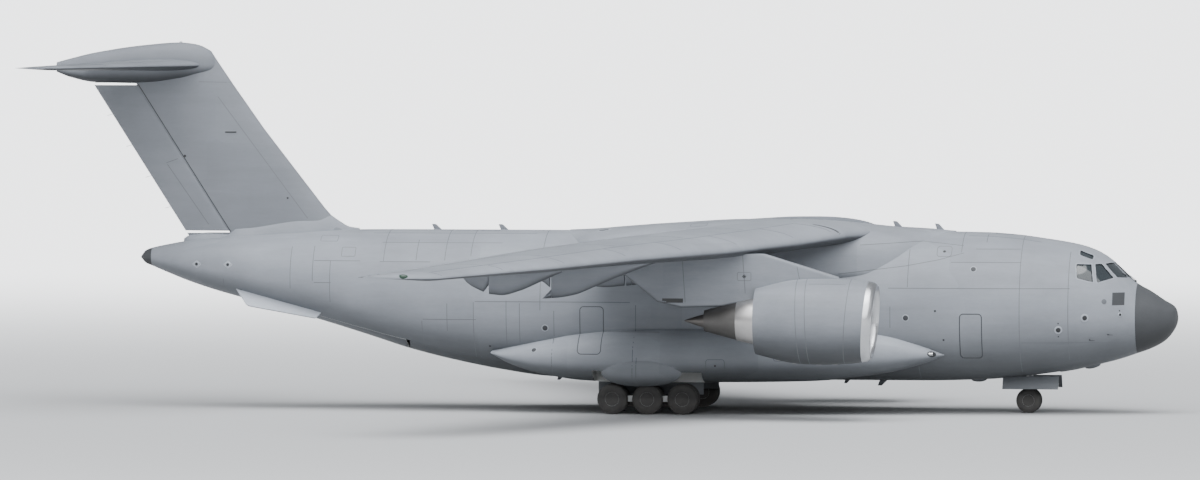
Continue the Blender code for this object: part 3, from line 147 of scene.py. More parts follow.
# Tailplane: y, leading edge x, trailing edge x, height, thickness over chord
TAILPLANE_ROWS = (
    (0.00, -8.02, -10.30, 6.66, 0.10), (0.30, -8.17, -10.35, 6.66, 0.10), (3.95, -9.98, -10.945, 6.665, 0.09),
    (4.05, -10.12, -10.962, 6.665, 0.08), (4.10, -10.40, -10.975, 6.665, 0.06),
)
ELEVATOR_NOSE = 0.70
ELEVATOR_SPAN = (0.42, 3.86)
# Ridge at the fin's foot: station, top, half width
RIDGE_ROWS = (
    (15.95, 3.50, 0.05), (16.15, 3.53, 0.10), (16.35, 3.64, 0.14), (16.62, 3.79, 0.21), (17.20, 3.77, 0.29),
    (18.10, 3.56, 0.29), (18.38, 3.52, 0.26), (18.52, 3.40, 0.24), (18.90, 3.40, 0.20), (19.35, 3.33, 0.10),
    (19.42, 3.28, 0.03),
)
# Corners of a strake under the tail: station, y, z, and how far each is rounded
STRAKE = ((18.31, 0.60, 2.36), (16.50, 0.745, 1.965), (16.66, 0.94, 1.775), (18.02, 0.891, 2.01))
STRAKE_ROUNDING = (0.01, 0.02, 0.03, 0.06)
# Side doors: front station, rear station, bottom, top
CREW_DOOR = (3.66, 4.08, 1.10, 1.95)
JUMP_DOOR = (10.97, 11.42, 1.16, 2.05)
# Cockpit windows: name, corners as station and height, and where they begin from the middle
WINDOWS = (
    ("rear_side", ((1.888, 2.894), (1.615, 2.890), (1.565, 2.556), (1.861, 2.634)), 0.3),
    ("front_side", ((1.545, 2.893), (1.425, 2.890), (1.196, 2.633), (1.486, 2.549)), 0.3),
    ("windshield", ((1.365, 2.897), (1.10, 2.92), (0.85, 2.66), (0.975, 2.627), (1.135, 2.644)), 0.03),
    ("eyebrow", ((1.847, 3.150), (1.594, 3.050), (1.604, 2.980), (1.841, 3.064)), 0.3),
)
# Landing gear: the port legs' middle axle, axle spacing, tyre radii, and the wells' limits
GEAR_X, GEAR_Y, AXLE_SPACING = 0.90, 1.50, 0.68
MAIN_TYRE, NOSE_TYRE = 0.2925, 0.24
WELL_X, WELL_Y, WELL_TOP = (-0.16, 1.96), (1.19, 1.81), 1.02
NOSE_GEAR_X = 8.10
NOSE_WELL_X, NOSE_WELL_HALF, NOSE_WELL_TOP = (7.60, 8.72), 0.29, 1.30
# The cargo ramp's and the aft cargo door's stations and half widths, the door's at its front and rear
RAMP_STATIONS, RAMP_HALF = (12.22, 14.86), 0.98
AFT_DOOR_STATIONS, AFT_DOOR_HALF = (14.89, 18.00), (0.98, 0.46)
# The photo's angle: degrees ahead of square, degrees up, distance, lens and the point looked at
CAMERA_AHEAD, CAMERA_UP, CAMERA_DISTANCE, CAMERA_LENS = 8.0, 2.0, 200.0, 309.6
CAMERA_TARGET = (-0.258, 0.0, 3.288)

# Materials by name, objects by name, and each piece's body, replaced nodes and slot
FINISHES = {}
PIECES = {}
FACTS = {}


def at(station):
    """Returns the x of a station."""
    return NOSE_X - station


def smooth(positions, values, where):
    """Reads a curve through the values that never swings past them."""
    steps = np.diff(positions)
    rises = np.diff(values) / steps
    slopes = np.empty(len(values))
    slopes[0], slopes[-1] = rises[0], rises[-1]
    for i in range(1, len(values) - 1):
        before, after = rises[i - 1], rises[i]
        slopes[i] = 2 * before * after / (before + after) if before * after > 0 else 0.0
    i = int(np.clip(np.searchsorted(positions, where) - 1, 0, len(steps) - 1))
    t = (where - positions[i]) / steps[i]
    start = values[i] * (1 + 2 * t) * (1 - t) ** 2 + slopes[i] * steps[i] * t * (1 - t) ** 2
    end = values[i + 1] * t * t * (3 - 2 * t) + slopes[i + 1] * steps[i] * t * t * (t - 1)
    return float(start + end)


def read_rows(rows, where):
    """Reads every column of a table at one place in its first column, along smooth curves."""
    columns = [np.array(column, float) for column in zip(*rows)]
    return [smooth(columns[0], column, where) for column in columns[1:]]


def read_lines(rows, where):
    """Reads every column of a table by straight lines between its rows."""
    columns = list(zip(*rows))
    return [float(np.interp(where, columns[0], column)) for column in columns[1:]]


# The body's table by the stations' square roots, which keeps the nose round
BODY_CURVE = tuple((math.sqrt(row[0]), *row[1:]) for row in BODY_ROWS)


def circle(count):
    """Returns the cosine and sine of even steps round a circle."""
    angles = [2 * math.pi * i / count for i in range(count)]
    return [(math.cos(a), math.sin(a)) for a in angles]


def spread(low, high, step):
    """Returns even places from low to high, no further apart than the step."""
    count = max(1, math.ceil((high - low) / step))
    return [low + (high - low) * i / count for i in range(count + 1)]


# Meshes are put together as (points, faces) pairs, called shapes


def loft(rings, closed=True):
    """Joins rings of points into a skin, with flat ends unless told otherwise."""
    count = len(rings[0])
    points = [tuple(point) for ring in rings for point in ring]
    faces = []
    for row in range(len(rings) - 1):
        low, high = row * count, (row + 1) * count
        for i in range(count):
            j = (i + 1) % count
            faces.append((low + i, low + j, high + j, high + i))
    if closed:
        faces.append(tuple(reversed(range(count))))
        faces.append(tuple(range(len(points) - count, len(points))))
    return points, faces


def hoop(rings):
    """Joins rings of points into a skin that closes on itself."""
    points, faces = loft([*rings, rings[0]], closed=False)
    count, total = len(rings[0]), len(rings) * len(rings[0])
    faces = [tuple(index % total for index in face) for face in faces]
    return points[:-count], faces


def merge(*shapes):
    """Puts several shapes into one."""
    points, faces = [], []
    for more_points, more_faces in shapes:
        shift = len(points)
        points += more_points
        faces += [tuple(index + shift for index in face) for face in more_faces]
    return points, faces


def mirrored(shape):
    """Returns a shape's mirror image across the plane's middle."""
    points, faces = shape
    return [(x, -y, z) for x, y, z in points], [tuple(reversed(face)) for face in faces]


def both_sides(shape):
    """Returns a shape together with its mirror image."""
    return merge(shape, mirrored(shape))


def moved(shape, matrix):
    """Returns a shape moved by a matrix."""
    return [tuple(matrix @ Vector(point)) for point in shape[0]], shape[1]


def prism(outline, axis, low, high):
    """Extrudes an outline along an axis."""
    place = {
        "X": lambda a, b, c: (c, a, b),
        "Y": lambda a, b, c: (a, c, b),
        "Z": lambda a, b, c: (a, b, c),
    }[axis]
    return loft([[place(a, b, level) for a, b in outline] for level in (low, high)])


def block(x, y, z):
    """Makes a box from its limits."""
    return prism(((x[0], y[0]), (x[1], y[0]), (x[1], y[1]), (x[0], y[1])), "Z", z[0], z[1])


def turned(profile, axis, centre, corners=48):
    """Turns a profile of distance along the axis and radius about X, Y or Z."""
    rings = []
    for along, radius in profile:
        ring = []
        for cosine, sine in circle(corners):
            c, s = radius * cosine, radius * sine
            offset = {"X": (along, c, s), "Y": (s, along, c), "Z": (c, s, along)}[axis]
            ring.append(tuple(Vector(offset) + Vector(centre)))
        rings.append(ring)
    return loft(rings)


def rod(start, end, radius, corners=20, end_radius=None):
    """Makes a round bar between two points."""
    start, end = Vector(start), Vector(end)
    along = (end - start).normalized()
    side = along.orthogonal().normalized()
    other = along.cross(side)
    ends = ((start, radius), (end, radius if end_radius is None else end_radius))
    return loft([[tuple(middle + size * (c * side + s * other)) for c, s in circle(corners)]
                 for middle, size in ends])


def hose(path, radius, corners=10):
    """Makes a round pipe along a smooth path through the points."""
    path = rounded_path([Vector(point) for point in path], 6)
    rings = []
    side = None
    for i, point in enumerate(path):
        along = (path[min(i + 1, len(path) - 1)] - path[max(i - 1, 0)]).normalized()
        side = along.orthogonal() if side is None else side - along * side.dot(along)
        side.normalize()
        other = along.cross(side)
        rings.append([tuple(point + radius * (c * side + s * other)) for c, s in circle(corners)])
    return loft(rings)


def rounded_path(points, steps):
    """Returns points on a smooth curve through the given ones."""
    points = [Vector(point) for point in points]
    ends = [points[0] * 2 - points[1], *points, points[-1] * 2 - points[-2]]
    path = []
    for i in range(1, len(ends) - 2):
        p0, p1, p2, p3 = ends[i - 1 : i + 3]
        for step in range(steps):
            t = step / steps
            path.append(0.5 * (2 * p1 + (p2 - p0) * t + (2 * p0 - 5 * p1 + 4 * p2 - p3) * t**2
                               + (3 * p1 - 3 * p2 + p3 - p0) * t**3))
    path.append(points[-1])
    return path


def add_piece(name, shape, finishes, body="airframe", replaces=(), slot="body_grey", angle=35):
    """Adds a visible piece that rides on a body and stands for CAD nodes."""
    made = add_mesh(name, shape, finishes if isinstance(finishes, (list, tuple)) else [finishes])
    finish_surface(made, angle)
    return declare(made, body, replaces, slot)


def declare(made, body="airframe", replaces=(), slot="body_grey"):
    """Says which body a piece rides on, which nodes it stands for and its material slot."""
    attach(made, body)
    if replaces:
        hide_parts(*replaces)
    PIECES[made.name] = made
    FACTS[made.name] = (body, replaces, slot)
    return made


def mirror_port_pieces():
    """Adds the mirror image of every port piece that has none yet."""
    for name, made in list(PIECES.items()):
        twin_name = name.replace("left", "right")
        if twin_name in PIECES:
            continue
        mesh = made.data.copy()
        mesh.name = twin_name
        mesh.transform(Matrix.Diagonal((1, -1, 1, 1)))
        mesh.flip_normals()
        for i, material in enumerate(mesh.materials):
            if material == FINISHES["lens_red"]:
                mesh.materials[i] = FINISHES["lens_green"]
        twin = bpy.data.objects.new(twin_name, mesh)
        bpy.context.scene.collection.objects.link(twin)
        body, replaces, slot = FACTS[name]
        nodes = [node.replace("left", "right") for node in replaces]
        declare(twin, body.replace("left", "right"), nodes, slot)


def add_mesh(name, shape, finishes):
    """Adds a mesh with its faces turned outwards."""
    mesh = bpy.data.meshes.new(name)
    mesh.from_pydata(shape[0], [], shape[1])
    work = bmesh.new()
    work.from_mesh(mesh)
    bmesh.ops.recalc_face_normals(work, faces=work.faces)
    work.to_mesh(mesh)
    work.free()
    made = bpy.data.objects.new(name, mesh)
    bpy.context.scene.collection.objects.link(made)
    for finish in finishes:
        mesh.materials.append(FINISHES[finish])
    return made


def bevel(made, width, segments):
    """Rounds a piece's edges."""
    change = made.modifiers.new("edges", "BEVEL")
    change.width, change.segments = width, segments
    return change


def finish_surface(made, angle=35):
    """Smooths a piece's shading and keeps its edges sharp."""
    made.data.shade_smooth()
    made.data.set_sharp_from_angle(angle=math.radians(angle))


def carve(made, *steps):
    """Applies Booleans: each step is an operation, a shape and the finish of what it cuts."""
    for operation, shape, finish in steps:
        tool = add_mesh("tool", shape, [finish] if finish else [])
        if not finish:
            tool.data.materials.append(made.data.materials[0])
        change = made.modifiers.new("change", "BOOLEAN")
        change.operation = operation
        change.solver = "EXACT"
        change.material_mode = "TRANSFER"
        change.object = tool
        bpy.context.view_layer.update()
        result = bpy.data.meshes.new_from_object(made.evaluated_get(bpy.context.evaluated_depsgraph_get()))
        made.modifiers.clear()
        old, made.data = made.data, result
        result.name = made.name
        bpy.data.meshes.remove(old)
        bpy.data.objects.remove(tool)
    return made


def carved_piece(name, shape, finish, steps, **facts):
    """Adds a piece and cuts it to shape before its surface is finished."""
    made = add_piece(name, shape, finish, **facts)
    carve(made, *steps)
    finish_surface(made)
    return made


# Sections


def oval_ring(x, middle_y, waist, half_width, top, bottom, low_power, high_power=2.0, corners=96):
    """Makes a ring across X whose upper and lower halves may differ."""
    ring = []
    for across, up in circle(corners):
        power = high_power if up >= 0 else low_power
        y = middle_y + half_width * math.copysign(abs(across) ** (2 / power), across)
        reach = (top - waist) if up >= 0 else (bottom - waist)
        ring.append((x, y, waist + reach * abs(up) ** (2 / power)))
    return ring


def body_at(station):
    """Returns crown, belly, half width, height of the widest point and squareness."""
    return read_rows(BODY_CURVE, math.sqrt(station))


def body_ring(station, inset=0.0, corners=112):
    """Makes the body's ring at a station, moved in from the skin by the inset."""
    crown, belly, half, waist, square = body_at(station)
    half, crown, belly = max(half - inset, 0.004), crown - inset, belly + inset
    return oval_ring(at(station), 0.0, waist, half, crown, belly, square, corners=corners)


def body_solid(first, last, inset=0.0, step=0.12, corners=112):
    """Makes the solid inside the body's skin."""
    return loft([body_ring(station, inset, corners) for station in spread(first, last, step)])


def hump_solid():
    """Makes the solid of the wing fairing."""
    rings = []
    for station in spread(4.30, 11.80, 0.12):
        top, half = read_rows(HUMP_ROWS, station)
        rings.append(oval_ring(at(station), 0.0, 2.75, half, top, 2.25, 2.0, 3.0, 96))
    return loft(rings)


def pod_solid(grow=0.0):
    """Makes the solid of one side's pod."""
    rings = []
    for station in spread(4.36, 13.17, 0.11):
        top, bottom, outer = read_rows(POD_ROWS, station)
        waist = bottom + 0.42 * (top - bottom)
        rings.append(oval_ring(at(station), 1.0, waist, outer - 1.0 + grow, top + grow, bottom - grow,
                               2.4, 2.0, 72))
    return loft(rings)


def bulge_solid():
    """Makes the solid of the bulge over one side's wheels."""
    front, rear = (at(station) for station in BULGE_STATIONS)
    rings = []
    for i in range(25):
        t = math.sin(math.pi * (i / 24 - 0.5)) * 0.9985
        size = (1 - abs(t) ** 2.4) ** 0.6
        x = (front + rear) / 2 + t * (front - rear) / 2
        rings.append(oval_ring(x, 1.52, 0.83, 0.44 * size, 0.83 + 0.355 * size, 0.83 - 0.355 * size,
                               2.3, 2.3, 56))
    return loft(rings)


def foil_point(fraction, upper, thickness, camber):
    """Returns the height of an aerofoil's surface over its chord line, for a chord of 1."""
    x = fraction
    half = 5 * thickness * (0.2969 * math.sqrt(x) - 0.1260 * x - 0.3516 * x**2
                            + 0.2843 * x**3 - 0.1036 * x**4)
    bend = camber * 4 * x * (1 - x)
    return bend + half if upper else bend - half


def foil_skins(fractions, thickness, camber):
    """Returns the upper skin from rear to front, and the lower skin from front to rear."""
    upper = [(f, foil_point(f, True, thickness, camber)) for f in reversed(fractions)]
    lower = [(f, foil_point(f, False, thickness, camber)) for f in fractions]
    return upper, lower


def foil_outline(thickness, camber, steps=30):
    """Returns a whole aerofoil's outline, as fractions of its chord."""
    upper, lower = foil_skins([1 - math.cos(math.pi / 2 * i / steps) for i in range(steps + 1)], thickness,
                              camber)
    return upper + lower[1:]


def nose_arc(hinge, thickness, camber, gap=0.0, steps=14):
    """Returns a half circle about the hinge, from the upper skin round the front to the lower one."""
    top, bottom = (foil_point(hinge, upper, thickness, camber) for upper in (True, False))
    middle, radius = (top + bottom) / 2, (top - bottom) / 2 + gap
    angles = [math.pi * i / steps for i in range(steps + 1)]
    return [(hinge - radius * math.sin(a), middle + radius * math.cos(a)) for a in angles]


def hinged_outline(hinge, thickness, camber, steps=10):
    """Returns the outline of a moving part whose nose is round about the hinge."""
    upper, lower = foil_skins([hinge + (1 - hinge) * i / steps for i in range(steps + 1)], thickness, camber)
    return upper[:-1] + nose_arc(hinge, thickness, camber) + lower[1:]


def opening_outline(hinge, thickness, camber, gap):
    """Returns the outline of the room that a moving part with a round nose needs."""
    arc = nose_arc(hinge, thickness, camber, gap)
    return [(1.2, arc[0][1]), *arc, (1.2, arc[-1][1])]


def wing_frame(y):
    """Returns the wing's nose x and height, chord, nose-up angle and thickness at a y."""
    nose, rear, z, angle, thickness = read_lines(WING_ROWS, abs(y))
    return at(nose), z, rear - nose, math.radians(angle), thickness


def wing_place(y, fraction, height):
    """Returns a point of the wing from its fraction of the chord and height over it."""
    x, z, chord, angle, _ = wing_frame(y)
    across = fraction * chord * math.cos(angle) + height * chord * math.sin(angle)
    drop = -fraction * chord * math.sin(angle) + height * chord * math.cos(angle)
    return (x - across, y, z + drop)


def blunted(outline, amount):
    """Returns an outline's fractions, heights and the shifts that leave the rear edge blunt."""
    half = len(outline) // 2
    return [(fraction, height, (amount if i <= half else -amount) * fraction)
            for i, (fraction, height) in enumerate(outline)]


def wing_ring(y, outline):
    """Makes a ring of the wing at a y, from an outline in chords."""
    ring = []
    for fraction, height, blunt in blunted(outline, 0.002):
        x, _, z = wing_place(y, fraction, height)
        ring.append((x, y, z + blunt))
    return ring


def row_places(rows, low, high, step):
    """Returns places from low to high that include the table's own rows."""
    stops = [low, *[row[0] for row in rows if low < row[0] < high], high]
    places = [low]
    for first, last in zip(stops, stops[1:]):
        places += spread(first, last, step)[1:]
    return places


def fin_ring(z, outline):
    """Makes a ring of the fin at a height."""
    nose, _, rear = read_lines(FIN_ROWS, z)
    chord = nose - rear
    return [(nose - fraction * chord, height * chord + blunt, z)
            for fraction, height, blunt in blunted(outline, 0.003)]


def rudder_hinge(z):
    """Returns the rudder hinge's place as a fraction of the fin's chord."""
    nose, hinge, rear = read_lines(FIN_ROWS, z)
    return (nose - hinge) / (nose - rear)


def tail_ring(y, outline):
    """Makes a ring of the tailplane at a y."""
    nose, rear, z, _ = read_lines(TAILPLANE_ROWS, y)
    chord = nose - rear
    return [(nose - fraction * chord, y, z + height * chord + blunt)
            for fraction, height, blunt in blunted(outline, 0.002)]


def rounded_outline(low, high, radius, steps=6):
    """Returns a rectangle with round corners, from its low and high corner."""
    outline = []
    corners = ((high[0], high[1], 0), (low[0], high[1], 90), (low[0], low[1], 180), (high[0], low[1], 270))
    for a, b, start in corners:
        middle_a = a - math.copysign(radius, a - (low[0] + high[0]) / 2)
        middle_b = b - math.copysign(radius, b - (low[1] + high[1]) / 2)
        for step in range(steps + 1):
            angle = math.radians(start + 90 * step / steps)
            outline.append((middle_a + radius * math.cos(angle), middle_b + radius * math.sin(angle)))
    return outline


def door_outline(row, gap=0.0, radius=0.07):
    """Returns a side door's outline in x and z, made smaller by the gap."""
    front, rear, bottom, top = row
    return rounded_outline((at(rear) + gap, bottom + gap), (at(front) - gap, top - gap), radius)


# Laying things on finished surfaces


class Surface:
    """The joined skins of some pieces, to find points on."""

    def __init__(self, *names):
        points, faces = [], []
        for name in names:
            mesh = PIECES[name].data
            shift = len(points)
            points += [tuple(vertex.co) for vertex in mesh.vertices]
            faces += [tuple(index + shift for index in face.vertices) for face in mesh.polygons]
        self.tree = BVHTree.FromPolygons(points, faces)

    def cast(self, start, direction):
        """Returns the first point met and the surface's direction there, or None."""
        direction = Vector(direction).normalized()
        point, normal, _, _ = self.tree.ray_cast(Vector(start), direction)
        if point is None:
            # A ray that runs along an edge can slip between its faces
            point, normal, _, _ = self.tree.ray_cast(Vector(start) + Vector((0.0011, 0.0013, 0.0009)),
                                                     direction)
        if point is None:
            return None
        return point, (-normal if normal.dot(direction) > 0 else normal)

    def side(self, x, z, sign):
        """Finds the surface from the side."""
        return self.cast((x, sign * 14.0, z), (0, -sign, 0))

    def above(self, x, y):
        """Finds the surface from above."""
        return self.cast((x, y, 12.0), (0, 0, -1))

    def below(self, x, y):
        """Finds the surface from below."""
        return self.cast((x, y, -2.0), (0, 0, 1))


def resample(points, step, closed=False):
    """Returns points along a line of points, no further apart than the step."""
    points = [Vector(point) for point in points]
    if closed:
        points.append(points[0])
    path = [points[0]]
    for start, end in zip(points, points[1:]):
        count = max(1, math.ceil((end - start).length / step))
        path += [start + (end - start) * (i + 1) / count for i in range(count)]
    return path


def ribbon(track, width, lift=0.0015, sunk=0.006, closed=False):
    """Lays a flat strip along what was found on a surface, whose ends may meet."""
    track = [found for found in track if found]
    if closed:
        track = track[:-1]
    rings = []
    count = len(track)
    for i, (point, normal) in enumerate(track):
        after = track[(i + 1) % count if closed else min(i + 1, count - 1)][0]
        before = track[(i - 1) % count if closed else max(i - 1, 0)][0]
        side = (after - before).cross(normal).normalized() * (width / 2)
        high, low = point + normal * lift, point - normal * sunk
        rings.append([tuple(high + side), tuple(high - side), tuple(low - side), tuple(low + side)])
    return hoop(rings) if closed else loft(rings)


def line_on(find, points, width, step=0.06, closed=False, lift=0.0015):
    """Lays a strip over a surface, along points in the plane that the finder looks through."""
    flat = [(a, b, 0.0) for a, b in points]
    track = [find(point.x, point.y) for point in resample(flat, step, closed)]
    track = [found for found in track if found]
    if len(track) < 2:
        raise RuntimeError(f"no surface under the line that starts at {points[0]}")
    return ribbon(track, width, lift, closed=closed)


def plate(find, low, high, lift=0.003, step=0.05):
    """Makes a thin plate that follows a surface, between two corners seen through the finder."""
    rings = []
    for a in spread(low[0], high[0], step):
        column = [find(a, b) for b in spread(low[1], high[1], step)]
        if None in column:
            raise RuntimeError(f"no surface under the plate at {low}")
        rings.append([tuple(point + normal * lift) for point, normal in column]
                     + [tuple(point - normal * 0.006) for point, normal in reversed(column)])
    return loft(rings)


def disc(found, radius, height, rim=0.0, corners=28, sunk=0.01):
    """Makes a round plate that sits on a surface, with an edge that may be rounded."""
    point, normal = found
    turn = normal.to_track_quat("Z", "Y").to_matrix().to_4x4()
    profile = [(-sunk, radius), (height - rim, radius)]
    if rim:
        profile += [(height - rim + rim * math.sin(a), radius - rim + rim * math.cos(a))
                    for a in (math.pi / 6, math.pi / 3, math.pi / 2)]
    return moved(turned(profile, "Z", (0, 0, 0), corners), Matrix.Translation(point) @ turn)


def blister(start, end, width, height, find, corners=20, steps=14):
    """Makes a smooth low bump between two x on a surface seen along Z."""
    rings = []
    for i in range(steps + 1):
        t = math.sin(math.pi * (i / steps - 0.5)) * 0.998
        size = math.sqrt(max(1 - t * t, 0.004))
        point, normal = find((start + end) / 2 + t * (end - start) / 2, 0.0)
        across = Vector((0, 1, 0)) - normal * normal.y
        across.normalize()
        rings.append([tuple(point + across * (width / 2 * size * c) + normal * (height * size * s))
                      for c, s in circle(corners)])
    return loft(rings)


def blade(found, chord, height, rake, thickness=0.012, taper=0.55):
    """Makes a blade aerial that stands on a surface and leans to the rear."""
    point, normal = found
    up = normal.normalized()
    fore = Vector((1, 0, 0)) - up * up.x
    fore.normalize()
    side = up.cross(fore)
    rings = []
    for level in (-0.02, 0.0, 0.35, 0.7, 0.92, 1.0):
        t = max(level, 0.0)
        size = chord * (1 - (1 - taper) * t) * (0.82 if level == 1.0 else 1.0)
        bulk = thickness * (1 - 0.5 * t)
        middle = point + up * (height * level) - fore * (rake * height * t)
        rings.append([tuple(middle + fore * (size / 2 * c) + side * (bulk / 2 * s)) for c, s in circle(20)])
    return loft(rings)


# Finishes


class Value:
    """A socket of a finish, which can be used in sums."""

    def __init__(self, finish, socket):
        self.finish, self.socket = finish, socket

    def sum(self, operation, first, second):
        """Adds a Math node for two values, each a number or a Value."""
        return self.finish.node("ShaderNodeMath", {"operation": operation}, {0: first, 1: second})

    def __add__(self, other):
        return self.sum("ADD", self, other)

    def __radd__(self, other):
        return self.sum("ADD", other, self)

    def __sub__(self, other):
        return self.sum("SUBTRACT", self, other)

    def __rsub__(self, other):
        return self.sum("SUBTRACT", other, self)

    def __mul__(self, other):
        return self.sum("MULTIPLY", self, other)

    def __rmul__(self, other):
        return self.sum("MULTIPLY", other, self)


class Finish:
    """A material that is built from nodes."""

    def __init__(self, name):
        self.material = bpy.data.materials.new(name)
        self.material.use_nodes = True
        self.tree = self.material.node_tree
        self.shader = self.tree.nodes["Principled BSDF"]
        FINISHES[name] = self.material

    def node(self, kind, settings=None, sockets=None, output=0):
        """Adds a node: its settings first, then its sockets' values or links."""
        made = self.tree.nodes.new(kind)
        for name, value in (settings or {}).items():
            setattr(made, name, value)
        for name, value in (sockets or {}).items():
            self.feed(made.inputs[name], value)
        return Value(self, made.outputs[output])

    def feed(self, socket, value):
        """Links a Value to a socket, or sets a number, colour or vector on it."""
        if isinstance(value, Value):
            self.tree.links.new(value.socket, socket)
        elif isinstance(value, (tuple, list)) and socket.type == "RGBA":
            socket.default_value = (*value, 1.0) if len(value) == 3 else value
        else:
            socket.default_value = value

    def set(self, **sockets):
        """Sets the shader's own sockets, whose names have spaces for underscores."""
        for name, value in sockets.items():
            self.feed(self.shader.inputs[name.replace("_", " ").title().replace("Ior", "IOR")], value)
        return self

    def place(self):
        """Returns the position on the object."""
        return self.node("ShaderNodeTexCoord", output="Object")

    def split(self, vector, axis):
        """Returns one part of a vector."""
        return self.node("ShaderNodeSeparateXYZ", None, {0: vector}, "XYZ".index(axis))

    def stretched(self, vector, scale):
        """Returns a position multiplied along each axis."""
        return self.node("ShaderNodeVectorMath", {"operation": "MULTIPLY"}, {0: vector, 1: scale})

    def noise(self, vector, scale, detail=4.0, rough=0.55):
        """Returns soft noise from 0 to 1."""
        return self.node("ShaderNodeTexNoise", None,
                         {"Vector": vector, "Scale": scale, "Detail": detail, "Roughness": rough})

    def cells(self, vector, scale):
        """Returns a random value for each cell of a loose pattern."""
        cell = self.node("ShaderNodeTexVoronoi", {"distance": "CHEBYCHEV"},
                         {"Vector": vector, "Scale": scale, "Randomness": 0.35}, "Color")
        return self.split(cell, "X")

    def step(self, value, low, high, soft=True):
        """Returns 0 up to the low limit and 1 from the high one, with an even or a soft rise between."""
        return self.node("ShaderNodeMapRange",
                         {"data_type": "FLOAT", "interpolation_type": "SMOOTHSTEP" if soft else "LINEAR"},
                         {"Value": value, "From Min": low, "From Max": high})

    def mix(self, factor, first, second, blend="MIX"):
        """Mixes two colours."""
        return self.node("ShaderNodeMix", {"data_type": "RGBA", "blend_type": blend},
                         {0: factor, 6: first, 7: second}, 2)

    def bump(self, height, distance, strength=1.0):
        """Feeds a height to the shader's normal."""
        self.set(normal=self.node("ShaderNodeBump", None,
                                  {"Height": height, "Distance": distance, "Strength": strength}))
        return self


def shaded(colour, factor):
    """Returns a colour made darker or lighter."""
    return tuple(c * factor for c in colour)


def painted(name, colour, roughness=0.42, stain=0.16, panels=0.05, painted_shade_heights=(0.5, 1.5), under=0.6):
    """A weathered paint: blotches, streaks that trail to the rear, panel shades, and painted shade low down
    and on faces that look down.
    """
    finish = Finish(name)
    here = finish.place()
    blotch = finish.noise(here, 0.9, 6.0)
    streak = finish.noise(finish.stretched(here, (0.35, 2.2, 2.6)), 1.6, 5.0, 0.6)
    fine = finish.noise(finish.stretched(here, (8.0, 30.0, 30.0)), 1.0, 3.0)
    panel = finish.cells(finish.stretched(here, (0.55, 0.9, 1.1)), 1.0)
    shade = blotch * 0.5 + streak * 0.38 + fine * 0.12
    base = finish.mix(finish.step(shade, 0.32, 0.68, False), shaded(colour, 1 - stain),
                      shaded(colour, 1 + stain * 0.75))
    tint = finish.mix(panel, (1 - panels,) * 3, (1 + panels * 0.6,) * 3)
    # Painted shade: the paint is darker low on the body and on faces that look down, standing in for the
    # shade there
    low = finish.step(finish.split(here, "Z"), *painted_shade_heights)
    tint = finish.mix(low, finish.mix(1.0, tint, (0.54, 0.54, 0.525), "MULTIPLY"), tint)
    facing = finish.split(finish.node("ShaderNodeTexCoord", output="Normal"), "Z")
    below = finish.step(facing * -1.0, -0.05, 0.75)
    tint = finish.mix(below, tint, finish.mix(1.0, tint, (under, under, under * 0.99), "MULTIPLY"))
    finish.set(base_color=finish.mix(1.0, base, tint, "MULTIPLY"))
    finish.set(roughness=blotch * 0.14 + fine * 0.08 + (roughness - 0.11))
    finish.set(specular_ior_level=0.22)
    return finish.bump(fine * 0.4 + streak * 0.6, 0.002, 0.35)


def metal(name, colour, roughness, grain=(1.0, 1.0, 1.0), stain=0.25, heat=0.0, relief=0.4):
    """A bare metal, brushed along the axes with small grain numbers."""
    finish = Finish(name)
    here = finish.place()
    brushed = finish.noise(finish.stretched(here, grain), 24.0, 5.0, 0.65)
    blotch = finish.noise(here, 5.0, 5.0)
    warm = (colour[0], colour[1] * (0.93 - heat * 0.2), colour[2] * (0.85 - heat * 0.4))
    base = finish.mix(blotch, shaded(colour, 1 - stain), colour)
    base = finish.mix(brushed * heat, base, warm) if heat else base
    finish.set(base_color=base, metallic=1.0)
    finish.set(roughness=brushed * 0.22 + blotch * 0.1 + (roughness - 0.15))
    return finish.bump(brushed, 0.0015, relief)


def plain(name, colour, roughness, stain=0.12, scale=6.0, metallic=0.0, bump=0.0008):
    """A plain coating with slight wear."""
    finish = Finish(name)
    here = finish.place()
    wear = finish.noise(here, scale, 5.0)
    fine = finish.noise(here, scale * 14, 2.0)
    finish.set(base_color=finish.mix(wear, shaded(colour, 1 - stain), shaded(colour, 1 + stain)),
               roughness=wear * 0.16 + (roughness - 0.08), metallic=metallic)
    return finish.bump(fine * 0.5 + wear, bump, 0.5)


def tyre_rubber():
    """Rubber with a dusty tread and softer marks on the walls."""
    finish = Finish("tyre_rubber")
    here = finish.place()
    dust = finish.noise(here, 7.0, 6.0)
    fine = finish.noise(here, 90.0, 3.0)
    finish.set(base_color=finish.mix(dust * 0.8, (0.018, 0.018, 0.019), (0.075, 0.071, 0.066)))
    finish.set(roughness=dust * 0.2 + 0.68)
    return finish.bump(fine, 0.001, 0.6)


def glass():
    """Dark coated window glass that shows a little of the flight deck."""
    finish = Finish("window_glass")
    here = finish.place()
    haze = finish.noise(here, 3.0, 4.0)
    finish.set(base_color=finish.mix(haze, (0.020, 0.026, 0.030), (0.045, 0.055, 0.062)))
    finish.set(roughness=haze * 0.05 + 0.03, alpha=0.93, coat_weight=0.6)
    finish.material.surface_render_method = "DITHERED"
    return finish


def lamp(name, colour, glow):
    """A lens with a faint light in it."""
    finish = Finish(name)
    facets = finish.noise(finish.place(), 160.0, 1.0)
    finish.set(base_color=finish.mix(facets, shaded(colour, 0.6), colour))
    finish.set(emission_color=colour, emission_strength=glow, roughness=0.12)
    return finish.bump(facets, 0.001, 0.4)


